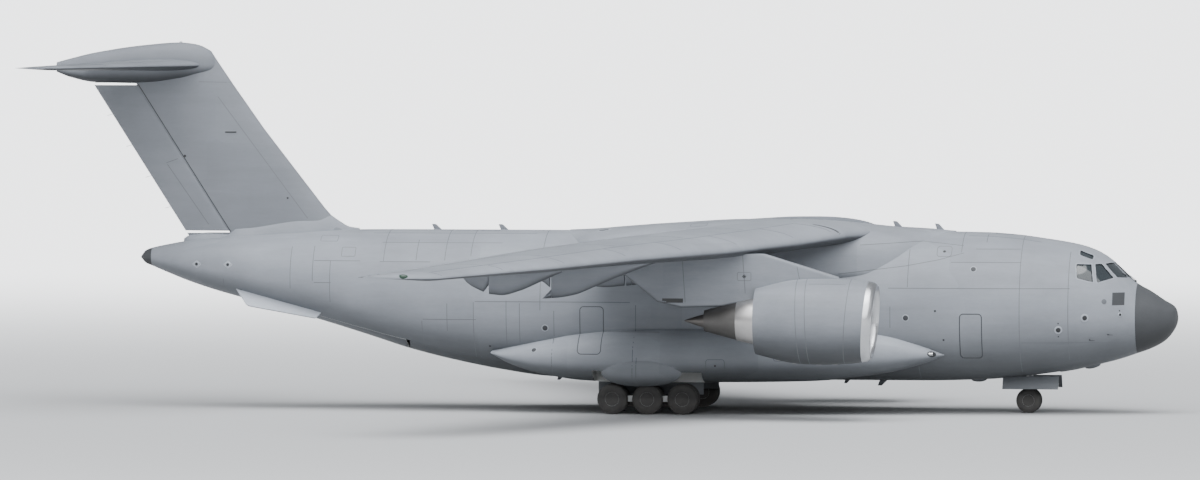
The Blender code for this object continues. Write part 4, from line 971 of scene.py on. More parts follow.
def ablative_liner():
    """The drilled sound liner inside the intake."""
    finish = Finish("intake_liner")
    here = finish.place()
    holes = finish.node("ShaderNodeTexVoronoi", None, {"Vector": here, "Scale": 90.0, "Randomness": 0.0})
    dirt = finish.noise(here, 4.0, 5.0)
    finish.set(base_color=finish.mix(dirt, (0.10, 0.105, 0.11), (0.22, 0.225, 0.23)), roughness=0.55)
    return finish.bump(holes, 0.002, 0.5)


def make_finishes(looks):
    """Makes every finish."""
    grey = tuple(looks.paint)
    gloss = looks.gloss
    # Each paint is darkened as painted shade low down and on faces that look down; the under values set how
    # dark
    painted("body_paint", grey, gloss, painted_shade_heights=(0.6, 2.0))
    # The pods' paint is a lighter copy of the body's, painted light over the wing's shadow on the pods and
    # jump doors
    painted("pod_paint", shaded(grey, 1.22), gloss)
    painted("wing_paint", grey, gloss, 0.14, 0.06, under=0.28)
    painted("fin_paint", shaded(grey, 0.74), gloss, 0.12, 0.04, under=0.25)
    painted("rudder_paint", shaded(grey, 0.80), gloss, 0.12, 0.03)
    painted("cowl_paint", shaded(grey, 0.90), gloss, 0.2, 0.03, (1.0, 1.75), 0.5)
    # The strakes' paint is a much lighter copy of the grey, painted light for the top light falling on them
    painted("strake_paint", shaded(grey, 1.7), gloss, 0.1, 0.02, under=0.8)
    painted("radome_paint", tuple(looks.nose), 0.5, 0.12, 0.0)
    painted("cap_paint", tuple(looks.nose), 0.5, 0.15, 0.0)
    painted("dark_paint", (0.060, 0.064, 0.070), 0.5, 0.2, 0.0)
    painted("frame_paint", shaded(grey, 1.22), 0.4, 0.08, 0.0)
    for name, factor, roughness in (("seam", 0.45, 0.6), ("door_seam", 0.22, 0.6), ("seam_light", 1.35, 0.5),
                                    ("plate_grey", 0.15, 0.55)):
        plain(name, shaded(grey, factor), roughness)
    plain("seal_rubber", (0.030, 0.031, 0.033), 0.7)
    plain("lining", (0.30, 0.32, 0.31), 0.75, 0.15, 3.0, bump=0.003)
    plain("bay_white", (0.62, 0.63, 0.62), 0.42, 0.14, 4.0)
    plain("gear_white", (0.70, 0.71, 0.71), 0.34, 0.12, 5.0)
    plain("deck_grey", (0.13, 0.14, 0.15), 0.68, 0.2)
    plain("deck_black", (0.035, 0.036, 0.038), 0.55)
    plain("seat_cloth", (0.16, 0.17, 0.15), 0.9, 0.25, 20.0, bump=0.002)
    plain("sensor_dark", (0.022, 0.023, 0.025), 0.35)
    plain("hub_grey", (0.36, 0.37, 0.38), 0.4, 0.2, 12.0, metallic=0.6)
    plain("static_wick", (0.05, 0.05, 0.05), 0.6)
    metal("lip_metal", (0.66, 0.67, 0.69), 0.30, (1.0, 1.0, 1.0), 0.06, relief=0.03)
    metal("ring_metal", (0.74, 0.73, 0.73), 0.38, (0.15, 5.0, 5.0), 0.3, 0.2)
    metal("nozzle_metal", (0.19, 0.186, 0.182), 0.46, (0.15, 4.0, 4.0), 0.35, 0.2)
    metal("plug_metal", (0.22, 0.212, 0.205), 0.4, (0.2, 5.0, 5.0), 0.35, 0.3)
    metal("blade_metal", (0.40, 0.41, 0.43), 0.3, (4.0, 0.6, 0.6), 0.15)
    metal("chrome", (0.80, 0.80, 0.81), 0.2, (3.0, 3.0, 0.3), 0.1)
    metal("steel", (0.42, 0.43, 0.44), 0.38, (1.0, 1.0, 1.0), 0.25)
    tyre_rubber()
    glass()
    ablative_liner()
    lamp("lens_red", (0.20, 0.03, 0.03), 0.0)
    lamp("lens_green", (0.02, 0.06, 0.035), 0.0)
    lamp("lens_clear", (0.60, 0.62, 0.65), 0.05)
    lamp("screen", (0.05, 0.14, 0.16), 0.4)


# The plane's parts


def window_outline(corners, grow=0.0, radius=0.025, steps=4):
    """Returns a window's outline in x and z with its corners rounded, grown by a distance."""
    points = [Vector((at(station), z)) for station, z in corners]
    middle = sum(points, Vector((0, 0))) / len(points)
    if grow:
        points = [point + (point - middle).normalized() * grow * 1.35 for point in points]
    return [tuple(point) for point in rounded_corners(points, [radius] * len(points), steps)]


def window_prisms(grow=0.0):
    """Makes the cutters of the cockpit windows on both sides."""
    return merge(*[both_sides(prism(window_outline(corners, grow), "Y", inner, 1.6))
                   for _, corners, inner in WINDOWS])


def make_body():
    """Makes the radome, the pressure shell, the tail cap and the doors in the skin."""
    nose = [body_ring(q * q) for q in spread(math.sqrt(0.0012), math.sqrt(RADOME_END - 0.001), 0.026)]
    add_piece("nose_cone", loft(nose), "radome_paint", replaces=("radome",), slot="radome_grey")
    cap = [body_ring(station) for station in (*spread(AFT_END + 0.001, 20.24, 0.02), 20.255, 20.2675)]
    add_piece("tail_end_cap", loft(cap), "cap_paint", replaces=("tail_cap",), slot="radome_grey")

    crew, jump = door_outline(CREW_DOOR), door_outline(JUMP_DOOR)
    well = block(NOSE_WELL_X, (-NOSE_WELL_HALF, NOSE_WELL_HALF), (0.4, 1.0))
    openings = merge(window_prisms(), both_sides(prism(crew, "Y", 0.9, 1.6)),
                     both_sides(prism(jump, "Y", 0.9, 1.6)),
                     well)
    ramp_room = block((at(RAMP_STATIONS[1] + 0.03), at(RAMP_STATIONS[0] - 0.03)), (-0.988, 0.988),
                      (0.3, 1.75))
    carved_piece(
        "body_shell", body_solid(RADOME_END, AFT_END), "body_paint",
        (("DIFFERENCE", body_solid(0.84, 19.6, SKIN, 0.4, 56), "lining"),
         ("DIFFERENCE", openings, "seal_rubber"),
         ("DIFFERENCE", ramp_room, "bay_white"),
         ("DIFFERENCE", aft_door_block(0.008, 2.42), "bay_white")),
        replaces=("forward_fuselage", "centre_fuselage", "aft_fuselage"),
    )

    shell = body_solid(3.4, 4.4, 0.0, 0.05)
    door = prism(door_outline(CREW_DOOR, 0.007, 0.065), "Y", 0.9, 1.6)
    carved_piece(
        "crew_door_skin_left", shell, "body_paint",
        (("DIFFERENCE", body_solid(3.3, 4.5, SKIN, 0.05), "lining"), ("INTERSECT", door, "seal_rubber")),
        body="crew_door_left", replaces=("crew_door_left",),
    )
    carved_piece(
        "jump_door_skin_left", pod_solid(), "pod_paint",
        (("UNION", body_solid(10.7, 11.7, 0.0, 0.1), "body_paint"),
         ("DIFFERENCE", body_solid(10.6, 11.8, SKIN, 0.1), "lining"),
         ("INTERSECT", prism(door_outline(JUMP_DOOR, 0.004, 0.065), "Y", 0.9, 2.2),
          "seal_rubber")),
        replaces=("jump_door_left",),
    )

    x1, x0 = (at(station) for station in RAMP_STATIONS)
    outline = ((x0, 0.4), (x1, 0.4), (x1, 0.95), (x0 + 0.052, 1.36), (x0, 1.16))
    carved_piece(
        "ramp_skin", body_solid(12.0, 15.1, 0.0, 0.1), "body_paint",
        (("INTERSECT", prism(outline, "Y", -RAMP_HALF, RAMP_HALF), "deck_grey"),),
        body="cargo_ramp", replaces=("cargo_ramp",),
    )
    carved_piece(
        "aft_door_skin", body_solid(14.6, 18.3, 0.0, 0.1), "body_paint",
        (("DIFFERENCE", body_solid(14.5, 18.4, SKIN, 0.1), "lining"),
         ("INTERSECT", aft_door_block(0.0, 2.40), "bay_white")),
        body="aft_cargo_door", replaces=("aft_cargo_door",),
    )

    carved_piece("wing_root_fairing", hump_solid(), "body_paint",
                 (("DIFFERENCE", body_solid(3.3, 13.0, 0.012, 0.2), "lining"),), replaces=("wing_fairing",))
    jump_room = prism(door_outline(JUMP_DOOR), "Y", 0.9, 2.2)
    carved_piece(
        "pod_left", pod_solid(), "pod_paint",
        (("UNION", bulge_solid(), "pod_paint"),
         ("DIFFERENCE", body_solid(3.3, 14.1, 0.012, 0.2), "lining"),
         ("DIFFERENCE", block((at(13.5), at(12.1)), (-0.988, 0.988), (0.3, 1.6)), "bay_white"),
         ("DIFFERENCE", jump_room, "seal_rubber"),
         ("DIFFERENCE", block(WELL_X, WELL_Y, (0.2, WELL_TOP)), "bay_white")),
        replaces=("sponson_left",),
    )


def aft_door_block(grow, top):
    """Makes the block in plan that the aft cargo door, or the room for it, is cut with."""
    front, rear = at(AFT_DOOR_STATIONS[0]) + grow, at(AFT_DOOR_STATIONS[1]) - grow
    wide, narrow = (half + grow for half in AFT_DOOR_HALF)
    return prism(((front, -wide), (front, wide), (rear, narrow), (rear, -narrow)), "Z", 0.8, top)


def make_cockpit():
    """Makes the glass panes, their frames and what stands on the flight deck."""
    shell = loft([body_ring(station, 0.016) for station in spread(0.80, 2.05, 0.03)])
    inner = loft([body_ring(station, 0.030) for station in spread(0.79, 2.06, 0.03)])
    carved_piece(
        "cockpit_glass", shell, "window_glass",
        (("DIFFERENCE", inner, "window_glass"), ("INTERSECT", window_prisms(0.012), "window_glass")),
        replaces=("cockpit_glazing",), slot="window_glass",
    )
    skin = Surface("body_shell", "nose_cone")
    frames, gaskets = [], []
    for name, corners, _ in WINDOWS:
        edge, rim = window_outline(corners, 0.014), window_outline(corners)
        if name == "windshield":
            edge = edge[:-1]
        for sign in (1, -1):
            for points, width, lift, shapes in ((edge, 0.022, 0.003, frames), (rim, 0.010, 0.0045, gaskets)):
                track = []
                for point in resample([(x, z, 0.0) for x, z in points], 0.03, True):
                    found = skin.side(point.x, point.y, sign)
                    if found and abs(found[0].y) > 0.02:
                        track.append(found)
                shapes.append(ribbon(track, width, lift, 0.004, closed=False))
    add_piece("window_frames", merge(*frames), "frame_paint")
    add_piece("window_gaskets", merge(*gaskets), "seal_rubber", slot="tyre_rubber")
    for node, finish in (("flight_deck", "deck_grey"), ("cargo_floor", "deck_grey"),
                         ("nose_gear_well", "bay_white")):
        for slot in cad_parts[node].material_slots:
            slot.material = FINISHES[finish]
    seats, screens, trims = [], [], []
    for sign in (1, -1):
        y = sign * 0.42
        seats.append(cushion((at(2.115) + 0.02, at(1.80) - 0.005), (y - 0.118, y + 0.118), (2.33, 2.385)))
        seats.append(cushion((at(2.088) - 0.002, at(2.088) + 0.042), (y - 0.112, y + 0.112), (2.37, 2.66)))
        seats.append(cushion((at(2.088) - 0.002, at(2.088) + 0.035), (y - 0.06, y + 0.06), (2.67, 2.745)))
        for step in (-1, 1):
            screens.append(block((at(1.346), at(1.338)), (y + step * 0.105 - 0.07, y + step * 0.105 + 0.07),
                                 (2.33, 2.47)))
        trims.append(rod((at(1.40), y, 2.30), (at(1.50), y, 2.36), 0.010))
        trims.append(rod((at(1.50), y, 2.355), (at(1.50), y, 2.40), 0.009))
        trims += [rod((at(1.50), y + k * 0.05, 2.36), (at(1.50), y + k * 0.065, 2.42), 0.009)
                  for k in (-1, 1)]
        trims.append(rod((at(1.50), y - 0.052, 2.36), (at(1.50), y + 0.052, 2.36), 0.009))
    screens.append(block((at(1.346), at(1.338)), (-0.09, 0.09), (2.32, 2.46)))
    for k in (-1.5, -0.5, 0.5, 1.5):
        trims.append(rod((at(1.62), k * 0.03, 2.28), (at(1.58), k * 0.03, 2.37), 0.007))
        trims.append(rod((at(1.58), k * 0.03, 2.365), (at(1.576), k * 0.03, 2.395), 0.011))
    trims.append(block((at(1.42), at(1.10)), (-0.62, 0.62), (2.50, 2.515)))
    add_piece("seat_cushions", merge(*seats), "seat_cloth", slot="deck_grey")
    add_piece("flight_screens", merge(*screens), "screen", slot="deck_grey")
    add_piece("flight_controls", merge(*trims), "deck_black", slot="deck_grey")


def cushion(x, y, z):
    """Makes a pad with rounded edges and a slight crown."""
    middle = [(low + high) / 2 for low, high in (x, y, z)]
    half = [(high - low) / 2 for low, high in (x, y, z)]
    rings = []
    for i in range(1, 12):
        v = math.pi * (i / 12 - 0.5)
        ring = []
        for c, s in circle(32):
            parts = (math.cos(v) * c, math.cos(v) * s, math.sin(v))
            ring.append(tuple(m + h * math.copysign(abs(part) ** power, part)
                              for part, power, m, h in zip(parts, (0.35, 0.35, 0.5), middle, half)))
        rings.append(ring)
    return loft(rings)


def flap_shape(inner, outer):
    """Makes a flap as the rear of the wing's section, with a flat front."""
    rings = []
    for y in row_places(WING_ROWS, inner, outer, 0.25):
        thickness = wing_frame(y)[4]
        upper, lower = foil_skins(spread(FLAP_NOSE, 1.0, 0.02), thickness, CAMBER)
        rings.append(wing_ring(y, upper + lower))
    return loft(rings)


def under_wing(y, x):
    """Returns the height of the wing's lower skin at x."""
    nose, _, chord, _, thickness = wing_frame(y)
    fraction = min(max((nose - x) / chord, 0.02), 0.99)
    return wing_place(y, fraction, foil_point(fraction, False, thickness, CAMBER))[2]


def edge_height(points, x):
    """Returns the height of a lower edge at x, from its points of x and height."""
    return smooth([-place for place, _ in points], [z for _, z in points], -x)


def fairing(y, points, top, width, step=0.05):
    """Makes a fairing under the wing from its lower edge's points, and its top and half width at each x."""
    rings = []
    for x in spread(points[-1][0], points[0][0], step)[::-1]:
        bottom = edge_height(points, x)
        high = max(top(x), bottom + 0.008)
        rings.append(oval_ring(x, y, (high + bottom) / 2, width(x), high, bottom, 2.0, corners=32))
    return loft(rings)


def make_wing():
    """Makes the wings and their flaps, ailerons, spoilers and flap fairings."""
    wing_places = row_places(WING_ROWS, 0.90, 10.88, 0.22)
    wing_places += [10.94, 10.98, 11.0, 11.03, 11.055, 11.07, 11.085, 11.095]
    rings = [wing_ring(y, foil_outline(wing_frame(y)[4], CAMBER)) for y in wing_places]
    openings = []
    flap_middle = (FLAPS[0][2] + FLAPS[1][1]) / 2
    for inner, outer in ((1.0, flap_middle + 0.01), (flap_middle, FLAPS[1][2] + 0.008)):
        outline = []
        for y, fraction in ((inner, FLAP_NOSE), (outer, FLAP_NOSE), (outer, 1.15), (inner, 1.15)):
            x, _, _ = wing_place(y, fraction, 0.0)
            outline.append((x + (0.012 if fraction == FLAP_NOSE else 0.0), y))
        openings.append(("DIFFERENCE", prism(outline, "Z", 2.2, 4.4), "dark_paint"))
    room = []
    for y in (AILERON_SPAN[0] - 0.018, AILERON_SPAN[1] + 0.018):
        _, _, chord, _, thickness = wing_frame(y)
        room.append(wing_ring(y, opening_outline(AILERON_NOSE, thickness, CAMBER, 0.008 / chord)))
    openings.append(("DIFFERENCE", loft(room), "dark_paint"))
    start, end = SPOILER_CHORD
    pocket = [spoiler_ring(y, start - 0.0065, end + 0.03, 0.06, -0.030)
              for y in (SPOILER_SPAN[0] - 0.015, 6.30, SPOILER_SPAN[1] + 0.015)]
    openings.append(("DIFFERENCE", loft(pocket), "dark_paint"))
    carved_piece("wing_skin_left", loft(rings), "wing_paint",
                 (("DIFFERENCE", body_solid(3.3, 13.0, 0.012, 0.2), "lining"), *openings),
                 replaces=("wing_left",))
    carriers = []
    for y, points, _, _ in FLAP_FAIRINGS:
        nose, _, chord, _, _ = wing_frame(y)
        first = points[0][0]
        limit = nose - (FLAP_NOSE - 0.012) * chord
        level = edge_height(points, limit)

        def width(x, first=first):
            ahead = min(1.0, (first - x) / 0.30)
            return 0.030 + 0.055 * math.sqrt(max(1 - (1 - ahead) ** 2, 0.0))

        before = [point for point in points if point[0] > limit] + [(limit, level)]
        after = [(limit - 0.005, level)] + [point for point in points if point[0] < limit - 0.01]
        carriers.append(fairing(y, before, lambda x, y=y: under_wing(y, x) + 0.05, width))
        if len(after) > 1:
            carriers.append(fairing(y, after, lambda x, y=y: under_wing(y, x) - 0.05, width))
    # The middle fairing ends in a pointed tail below the flap's hinge
    y = FLAP_FAIRINGS[1][0]
    carriers.append(loft([oval_ring(x, y, (low + high) / 2, 0.083, high, low, 2.0, corners=32)
                          for x, low, high in FAIRING_TAIL]))
    add_piece("flap_carriers_left", merge(*carriers), "wing_paint")
    for name, inner, outer in FLAPS:
        shapes = [flap_shape(inner, outer)]
        for y, _, points, slant in FLAP_FAIRINGS:
            if not inner < y < outer:
                continue
            rear = wing_place(y, 0.97, 0.0)
            curve = [*points, (rear[0], rear[2] - 0.03)]
            first = points[0][0]
            rings = []
            for x in spread(rear[0], first, 0.05)[::-1]:
                t = (first - x) / (first - rear[0])
                low = max(edge_height(curve, x), slant - (first - x) * FAIRING_SLANT)
                top = (under_wing(y, x) + 0.03) * (1 - t) + (rear[2] - 0.002) * t
                rings.append(oval_ring(x, y, (top + low) / 2, 0.085 * (1 - 0.7 * t), top, low, 2.0,
                                       corners=32))
            shapes.append(loft(rings))
        add_piece(f"{name}_skin_left", merge(*shapes), "wing_paint", body=f"{name}_left",
                  replaces=(f"{name}_left",))
    rings = [wing_ring(y, hinged_outline(AILERON_NOSE, wing_frame(y)[4], CAMBER))
             for y in spread(*AILERON_SPAN, 0.25)]
    add_piece("aileron_skin_left", loft(rings), "wing_paint", body="aileron_left",
              replaces=("aileron_left",))
    rings = [spoiler_ring(y, start, end, 0.0, -0.022, 0.012)
             for y in row_places(WING_ROWS, *SPOILER_SPAN, 0.25)]
    add_piece("spoiler_skin_left", loft(rings), "wing_paint", body="spoiler_left",
              replaces=("spoiler_left",), angle=30)


def spoiler_ring(y, start, end, top, bottom, cut=0.0):
    """Makes a ring of the wing's upper skin between two heights, with its lower front edge cut back."""
    _, _, chord, _, thickness = wing_frame(y)
    fractions = spread(start, end, (end - start) / 10)
    ring = []
    for level, order in ((top, fractions[::-1]), (bottom, [max(f, start + cut) for f in fractions])):
        for fraction in order:
            x, _, z = wing_place(y, fraction, foil_point(fraction, True, thickness, CAMBER) + level / chord)
            ring.append((x, y, z))
    return ring


def lean(x, z):
    """Returns how far the cowl's front leans at a place."""
    t = min(max((x - 4.2) / (5.52 - 4.2), 0.0), 1.0)
    return 0.085 * (z - ENGINE_Z) * t * t * (3 - 2 * t)


def cowl_ring(x, radius, corners=112):
    """Makes a ring of the cowl."""
    ring = [(ENGINE_Y + radius * c, ENGINE_Z + radius * s) for c, s in circle(corners)]
    return [(x + lean(x, z), y, z) for y, z in ring]


def make_engines():
    """Makes the cowls, fans, engine blocks and pylons."""
    profile = [(point.x, point.y) for point in rounded_path([(x, r, 0) for x, r in COWL], 7)]
    cowl = add_piece("cowl_left", hoop([cowl_ring(x, r) for x, r in profile]),
                     ["cowl_paint", "lip_metal", "intake_liner", "nozzle_metal"], replaces=("nacelle_left",),
                     angle=50)
    for face in cowl.data.polygons:
        middle = face.center
        x = middle.x - lean(middle.x, middle.z)
        radius = math.hypot(middle.y - ENGINE_Y, middle.z - ENGINE_Z)
        outside = radius > 0.66 or (x < 3.9 and radius > float(np.interp(x, (3.25, 3.9), (0.623, 0.70))))
        if x > (5.335 if radius > 0.66 else 5.36):
            face.material_index = 1
        elif not outside:
            face.material_index = 2 if x > 4.3 else 3
    centre = (0.0, ENGINE_Y, ENGINE_Z)
    shapes = {
        "core_cowl": ([(4.66, 0.26), (4.55, 0.34), (4.30, 0.41), (3.85, 0.455), (3.40, 0.46), (3.12, 0.425),
                       (2.90, 0.372), (2.885, 0.366), (2.885, 0.30), (4.40, 0.20)], "ring_metal"),
        "core_nozzle": ([(2.883, 0.358), (2.80, 0.342), (2.55, 0.275), (2.30, 0.208), (2.262, 0.200),
                         (2.260, 0.192), (2.50, 0.245), (2.80, 0.28), (2.883, 0.28)], "nozzle_metal"),
        "core_plug": ([(2.80, 0.200), (2.55, 0.178), (2.30, 0.140), (2.12, 0.092), (1.98, 0.045),
                       (1.90, 0.018), (1.872, 0.004)], "plug_metal"),
    }
    for name, (profile, finish) in shapes.items():
        add_piece(f"{name}_left", turned(profile, "X", centre, 80), finish, slot="hot_metal",
                  replaces=("engine_core_left",) if name == "core_cowl" else ())
    vanes = []
    for i in range(36):
        turn = Matrix.Translation(centre) @ Matrix.Rotation(2 * math.pi * i / 36, 4, "X")
        rings = []
        for radius in (0.36, 0.645):
            rings.append([(4.42 + dx, dy, radius) for dx, dy in
                          ((0.10, 0.012), (0.05, 0.009), (-0.06, -0.004), (-0.10, -0.012), (-0.05, -0.001),
                           (0.05, 0.003))])
        vanes.append(moved(loft(rings), turn))
    add_piece("guide_vanes_left", merge(*vanes), "steel", slot="blade_metal")
    make_fan(centre)
    make_pylon()


# Fan blade: radius, half chord, pitch in degrees and shift ahead, then its section in half chords and metres
BLADE_ROWS = (
    (0.18, 0.045, 28, 0.0), (0.26, 0.052, 38, 0.008), (0.36, 0.060, 47, 0.012), (0.46, 0.066, 55, 0.010),
    (0.55, 0.070, 61, 0.002), (0.612, 0.070, 65, -0.008),
)
BLADE_SECTION = ((1, 0), (0.6, 0.009), (0, 0.014), (-0.6, 0.010), (-1, 0), (-0.6, 0.003), (0, 0.005),
                 (0.6, 0.002))


def make_fan(centre):
    """Makes a fan of curved, twisted blades round a smooth spinner."""
    profile = rounded_path([(5.12, 0.003, 0), (5.105, 0.035, 0), (5.06, 0.075, 0), (4.95, 0.148, 0),
                            (4.80, 0.200, 0), (4.70, 0.205, 0)], 5)
    spinner = turned([(point.x, point.y) for point in profile], "X", centre, 64)
    add_piece("fan_spinner_left", spinner, "dark_paint", body="fan_left", slot="blade_metal")
    shapes = []
    for i in range(24):
        turn = Matrix.Translation(centre) @ Matrix.Rotation(2 * math.pi * i / 24, 4, "X")
        rings = []
        for radius, half, pitch, sweep in BLADE_ROWS:
            a = math.radians(pitch)
            along = Vector((math.cos(a), math.sin(a), 0.0))
            thick = Vector((-math.sin(a), math.cos(a), 0.0))
            middle = Vector((4.86 + sweep, 0, radius))
            rings.append([tuple(along * (half * u) + thick * v + middle) for u, v in BLADE_SECTION])
        shapes.append(moved(loft(rings), turn))
    add_piece("fan_blades_left", merge(*shapes), "blade_metal", body="fan_left", replaces=("fan_left",),
              slot="blade_metal", angle=50)


def make_pylon():
    """Makes the pylon, with a rounded nose and edges."""
    limits = (ENGINE_Y - 0.085, ENGINE_Y + 0.085)
    made = add_mesh("pylon_skin_left", prism(PYLON, "Y", *limits), ["cowl_paint"])
    edges = bevel(made, 0.055, 5)
    edges.limit_method, edges.angle_limit = "ANGLE", math.radians(60)
    upper = block((0.0, 3.6), (3.2, 4.1), (3.17, 3.7))
    carve(made, ("DIFFERENCE", upper, "cowl_paint"))
    finish_surface(made)
    declare(made, replaces=("pylon_left",))


def make_tail():
    """Makes the fin, rudder, tailplane, elevators and strakes."""
    body = body_solid(14.5, 20.0, 0.012, 0.2)
    rings = []
    for z in (RUDDER_HEIGHTS[0] - 0.045, RUDDER_HEIGHTS[1] + 0.045):
        nose, _, rear = read_lines(FIN_ROWS, z)
        rings.append(fin_ring(z, opening_outline(rudder_hinge(z), FIN_THICKNESS, 0.0, 0.013 / (nose - rear))))
    outline = foil_outline(FIN_THICKNESS, 0.0, 26)
    fin = [fin_ring(z, outline) for z in row_places(FIN_ROWS, FIN_FOOT, FIN_TOP, 0.18)]
    carved_piece("fin_skin", loft(fin), "fin_paint",
                 (("DIFFERENCE", loft(rings), "dark_paint"), ("DIFFERENCE", body, "lining")),
                 replaces=("fin",))
    ridge = []
    for station in spread(RIDGE_ROWS[0][0], RIDGE_ROWS[-1][0], 0.07):
        top, half = read_rows(RIDGE_ROWS, station)
        ridge.append(oval_ring(at(station), 0.0, 2.95, half, top, 2.8, 2.0, corners=48))
    carved_piece("fin_foot_ridge", loft(ridge), "body_paint", (("DIFFERENCE", body, "lining"),))
    bullet = []
    for x in [-7.782, -7.79, -7.81, *spread(-10.96, -7.84, 0.06)[::-1]]:
        top, bottom, half = read_rows([(-row[0], *row[1:]) for row in BULLET_ROWS], -x)
        bullet.append(oval_ring(x, 0.0, bottom + 0.4 * (top - bottom), half, top, bottom, 2.0, corners=56))
    add_piece("tail_bullet", loft(bullet), "fin_paint")
    rings = [fin_ring(z, hinged_outline(rudder_hinge(z), FIN_THICKNESS, 0.0))
             for z in spread(*RUDDER_HEIGHTS, 0.12)]
    add_piece("rudder_skin", loft(rings), "rudder_paint", body="rudder", replaces=("rudder",))
    rings = []
    for y in (*row_places(TAILPLANE_ROWS, 0.02, 3.95, 0.2), 4.0, 4.03, 4.05, 4.07, 4.085, 4.095):
        rings.append(tail_ring(y, foil_outline(read_lines(TAILPLANE_ROWS, y)[3], 0.0, 24)))
    room = []
    for y in (ELEVATOR_SPAN[0] - 0.018, ELEVATOR_SPAN[1] + 0.018):
        nose, rear, _, thickness = read_lines(TAILPLANE_ROWS, y)
        room.append(tail_ring(y, opening_outline(ELEVATOR_NOSE, thickness, 0.0, 0.008 / (nose - rear))))
    carved_piece("tailplane_skin_left", loft(rings), "fin_paint", (("DIFFERENCE", loft(room), "dark_paint"),),
                 replaces=("tailplane_left",))
    rings = [tail_ring(y, hinged_outline(ELEVATOR_NOSE, read_lines(TAILPLANE_ROWS, y)[3], 0.0))
             for y in spread(*ELEVATOR_SPAN, 0.2)]
    add_piece("elevator_skin_left", loft(rings), "fin_paint", body="elevator_left",
              replaces=("elevator_left",))
    corners = [Vector((at(station), y, z)) for station, y, z in STRAKE]
    across = (corners[1] - corners[0]).cross(corners[2] - corners[0]).normalized()
    outline = rounded_corners(corners, STRAKE_ROUNDING)
    middle = sum(outline, Vector()) / len(outline)
    rings = []
    for shift, inset in ((-0.015, 0.012), (-0.006, 0.0), (0.006, 0.0), (0.015, 0.012)):
        rings.append([tuple(point + across * shift + (middle - point).normalized() * inset)
                      for point in outline])
    carved_piece("strake_left", loft(rings), "strake_paint", (("DIFFERENCE", body, "strake_paint"),),
                 replaces=("tail_strake_left",))


def rounded_corners(points, radii, steps=5):
    """Returns a closed outline with round corners."""
    outline = []
    for i, corner in enumerate(points):
        to_last = (points[i - 1] - corner).normalized()
        to_next = (points[(i + 1) % len(points)] - corner).normalized()
        start, end = corner + to_last * radii[i], corner + to_next * radii[i]
        for step in range(steps + 1):
            t = step / steps
            outline.append(start * (1 - t) ** 2 + corner * 2 * t * (1 - t) + end * t**2)
    return outline


def wheel_shapes(centre, radius, width, track, hub):
    """Returns the tyres, hubs and axle of a wheel pair, turned about Y."""
    tyres, hubs = [], []
    for sign in (-1, 1):
        near, far = track - width / 2, track + width / 2
        shoulder, grooves = 0.055, 4
        half = [(near + 0.012, hub + 0.012), (near, hub + 0.04), (near - 0.001, radius - 0.075),
                (near + 0.010, radius - 0.035), (near + shoulder * 0.6, radius - 0.009),
                (near + shoulder, radius - 0.001)]
        for i in range(grooves):
            middle = near + shoulder + (far - near - 2 * shoulder) * (i + 0.5) / grooves
            half += [(middle - 0.006, radius), (middle - 0.0045, radius - 0.009),
                     (middle + 0.0045, radius - 0.009),
                     (middle + 0.006, radius)]
        half += [(far - shoulder, radius - 0.001), (far - shoulder * 0.6, radius - 0.009),
                 (far - 0.010, radius - 0.035), (far + 0.001, radius - 0.075), (far, hub + 0.04),
                 (far - 0.012, hub + 0.012)]
        profile = [(sign * along, size) for along, size in half]
        tyres.append(turned(profile, "Y", centre, 72))
        rim = [(near + 0.008, 0.04), (near + 0.010, hub + 0.022), (far - 0.018, hub + 0.022),
               (far - 0.010, hub + 0.014), (far - 0.030, hub - 0.004), (far - 0.046, hub - 0.020),
               (far - 0.046, 0.062),
               (far - 0.020, 0.050), (far - 0.016, 0.030), (far - 0.020, 0.004)]
        hubs.append(turned([(sign * along, size) for along, size in rim], "Y", centre, 56))
        for c, s in circle(9):
            start = Vector(centre) + Vector((c * (hub - 0.038), sign * (far - 0.052), s * (hub - 0.038)))
            hubs.append(rod(start, start + Vector((0, sign * 0.014, 0)), 0.0075, 8))
        hubs.append(rod(Vector(centre) + Vector((0, sign * (near - 0.022), 0)),
                        Vector(centre) + Vector((0, sign * (near + 0.02), 0)), hub - 0.02, 40))
    hubs.append(rod(Vector(centre) - Vector((0, track, 0)), Vector(centre) + Vector((0, track, 0)), 0.034,
                    24))
    return merge(*tyres), merge(*hubs)


def make_gear():
    """Makes the wheels, legs, beams, doors and the pipes on them."""
    for place, step in (("front", 1), ("middle", 0), ("rear", -1)):
        body = f"main_wheels_left_{place}"
        centre = (GEAR_X + step * AXLE_SPACING, GEAR_Y, MAIN_TYRE)
        tyres, hubs = wheel_shapes(centre, MAIN_TYRE, 0.20, 0.17, 0.12)
        add_piece(f"tyres_left_{place}", tyres, "tyre_rubber", body=body, replaces=(body,),
                  slot="tyre_rubber")
        add_piece(f"hubs_left_{place}", hubs, "hub_grey", body=body, slot="gear_white")
    make_main_leg()
    door = block((WELL_X[0] + 0.04, WELL_X[1] - 0.04), (WELL_Y[0] - 0.034, WELL_Y[0] - 0.014), (0.36, 0.66))
    made = add_mesh("main_door_left", door, ["body_paint"])
    bevel(made, 0.006, 3)
    carve(made, ("DIFFERENCE", body_solid(8.0, 13.0, -0.001, 0.3), "body_paint"),
          ("DIFFERENCE", pod_solid(0.001), "body_paint"))
    finish_surface(made)
    declare(made, replaces=("main_gear_door_left",))
    tyres, hubs = wheel_shapes((NOSE_GEAR_X, 0.0, NOSE_TYRE), NOSE_TYRE, 0.15, 0.13, 0.10)
    add_piece("nose_tyres", tyres, "tyre_rubber", body="nose_wheels", replaces=("nose_wheels",),
              slot="tyre_rubber")
    add_piece("nose_hubs", hubs, "hub_grey", body="nose_wheels", slot="gear_white")
    make_nose_leg()


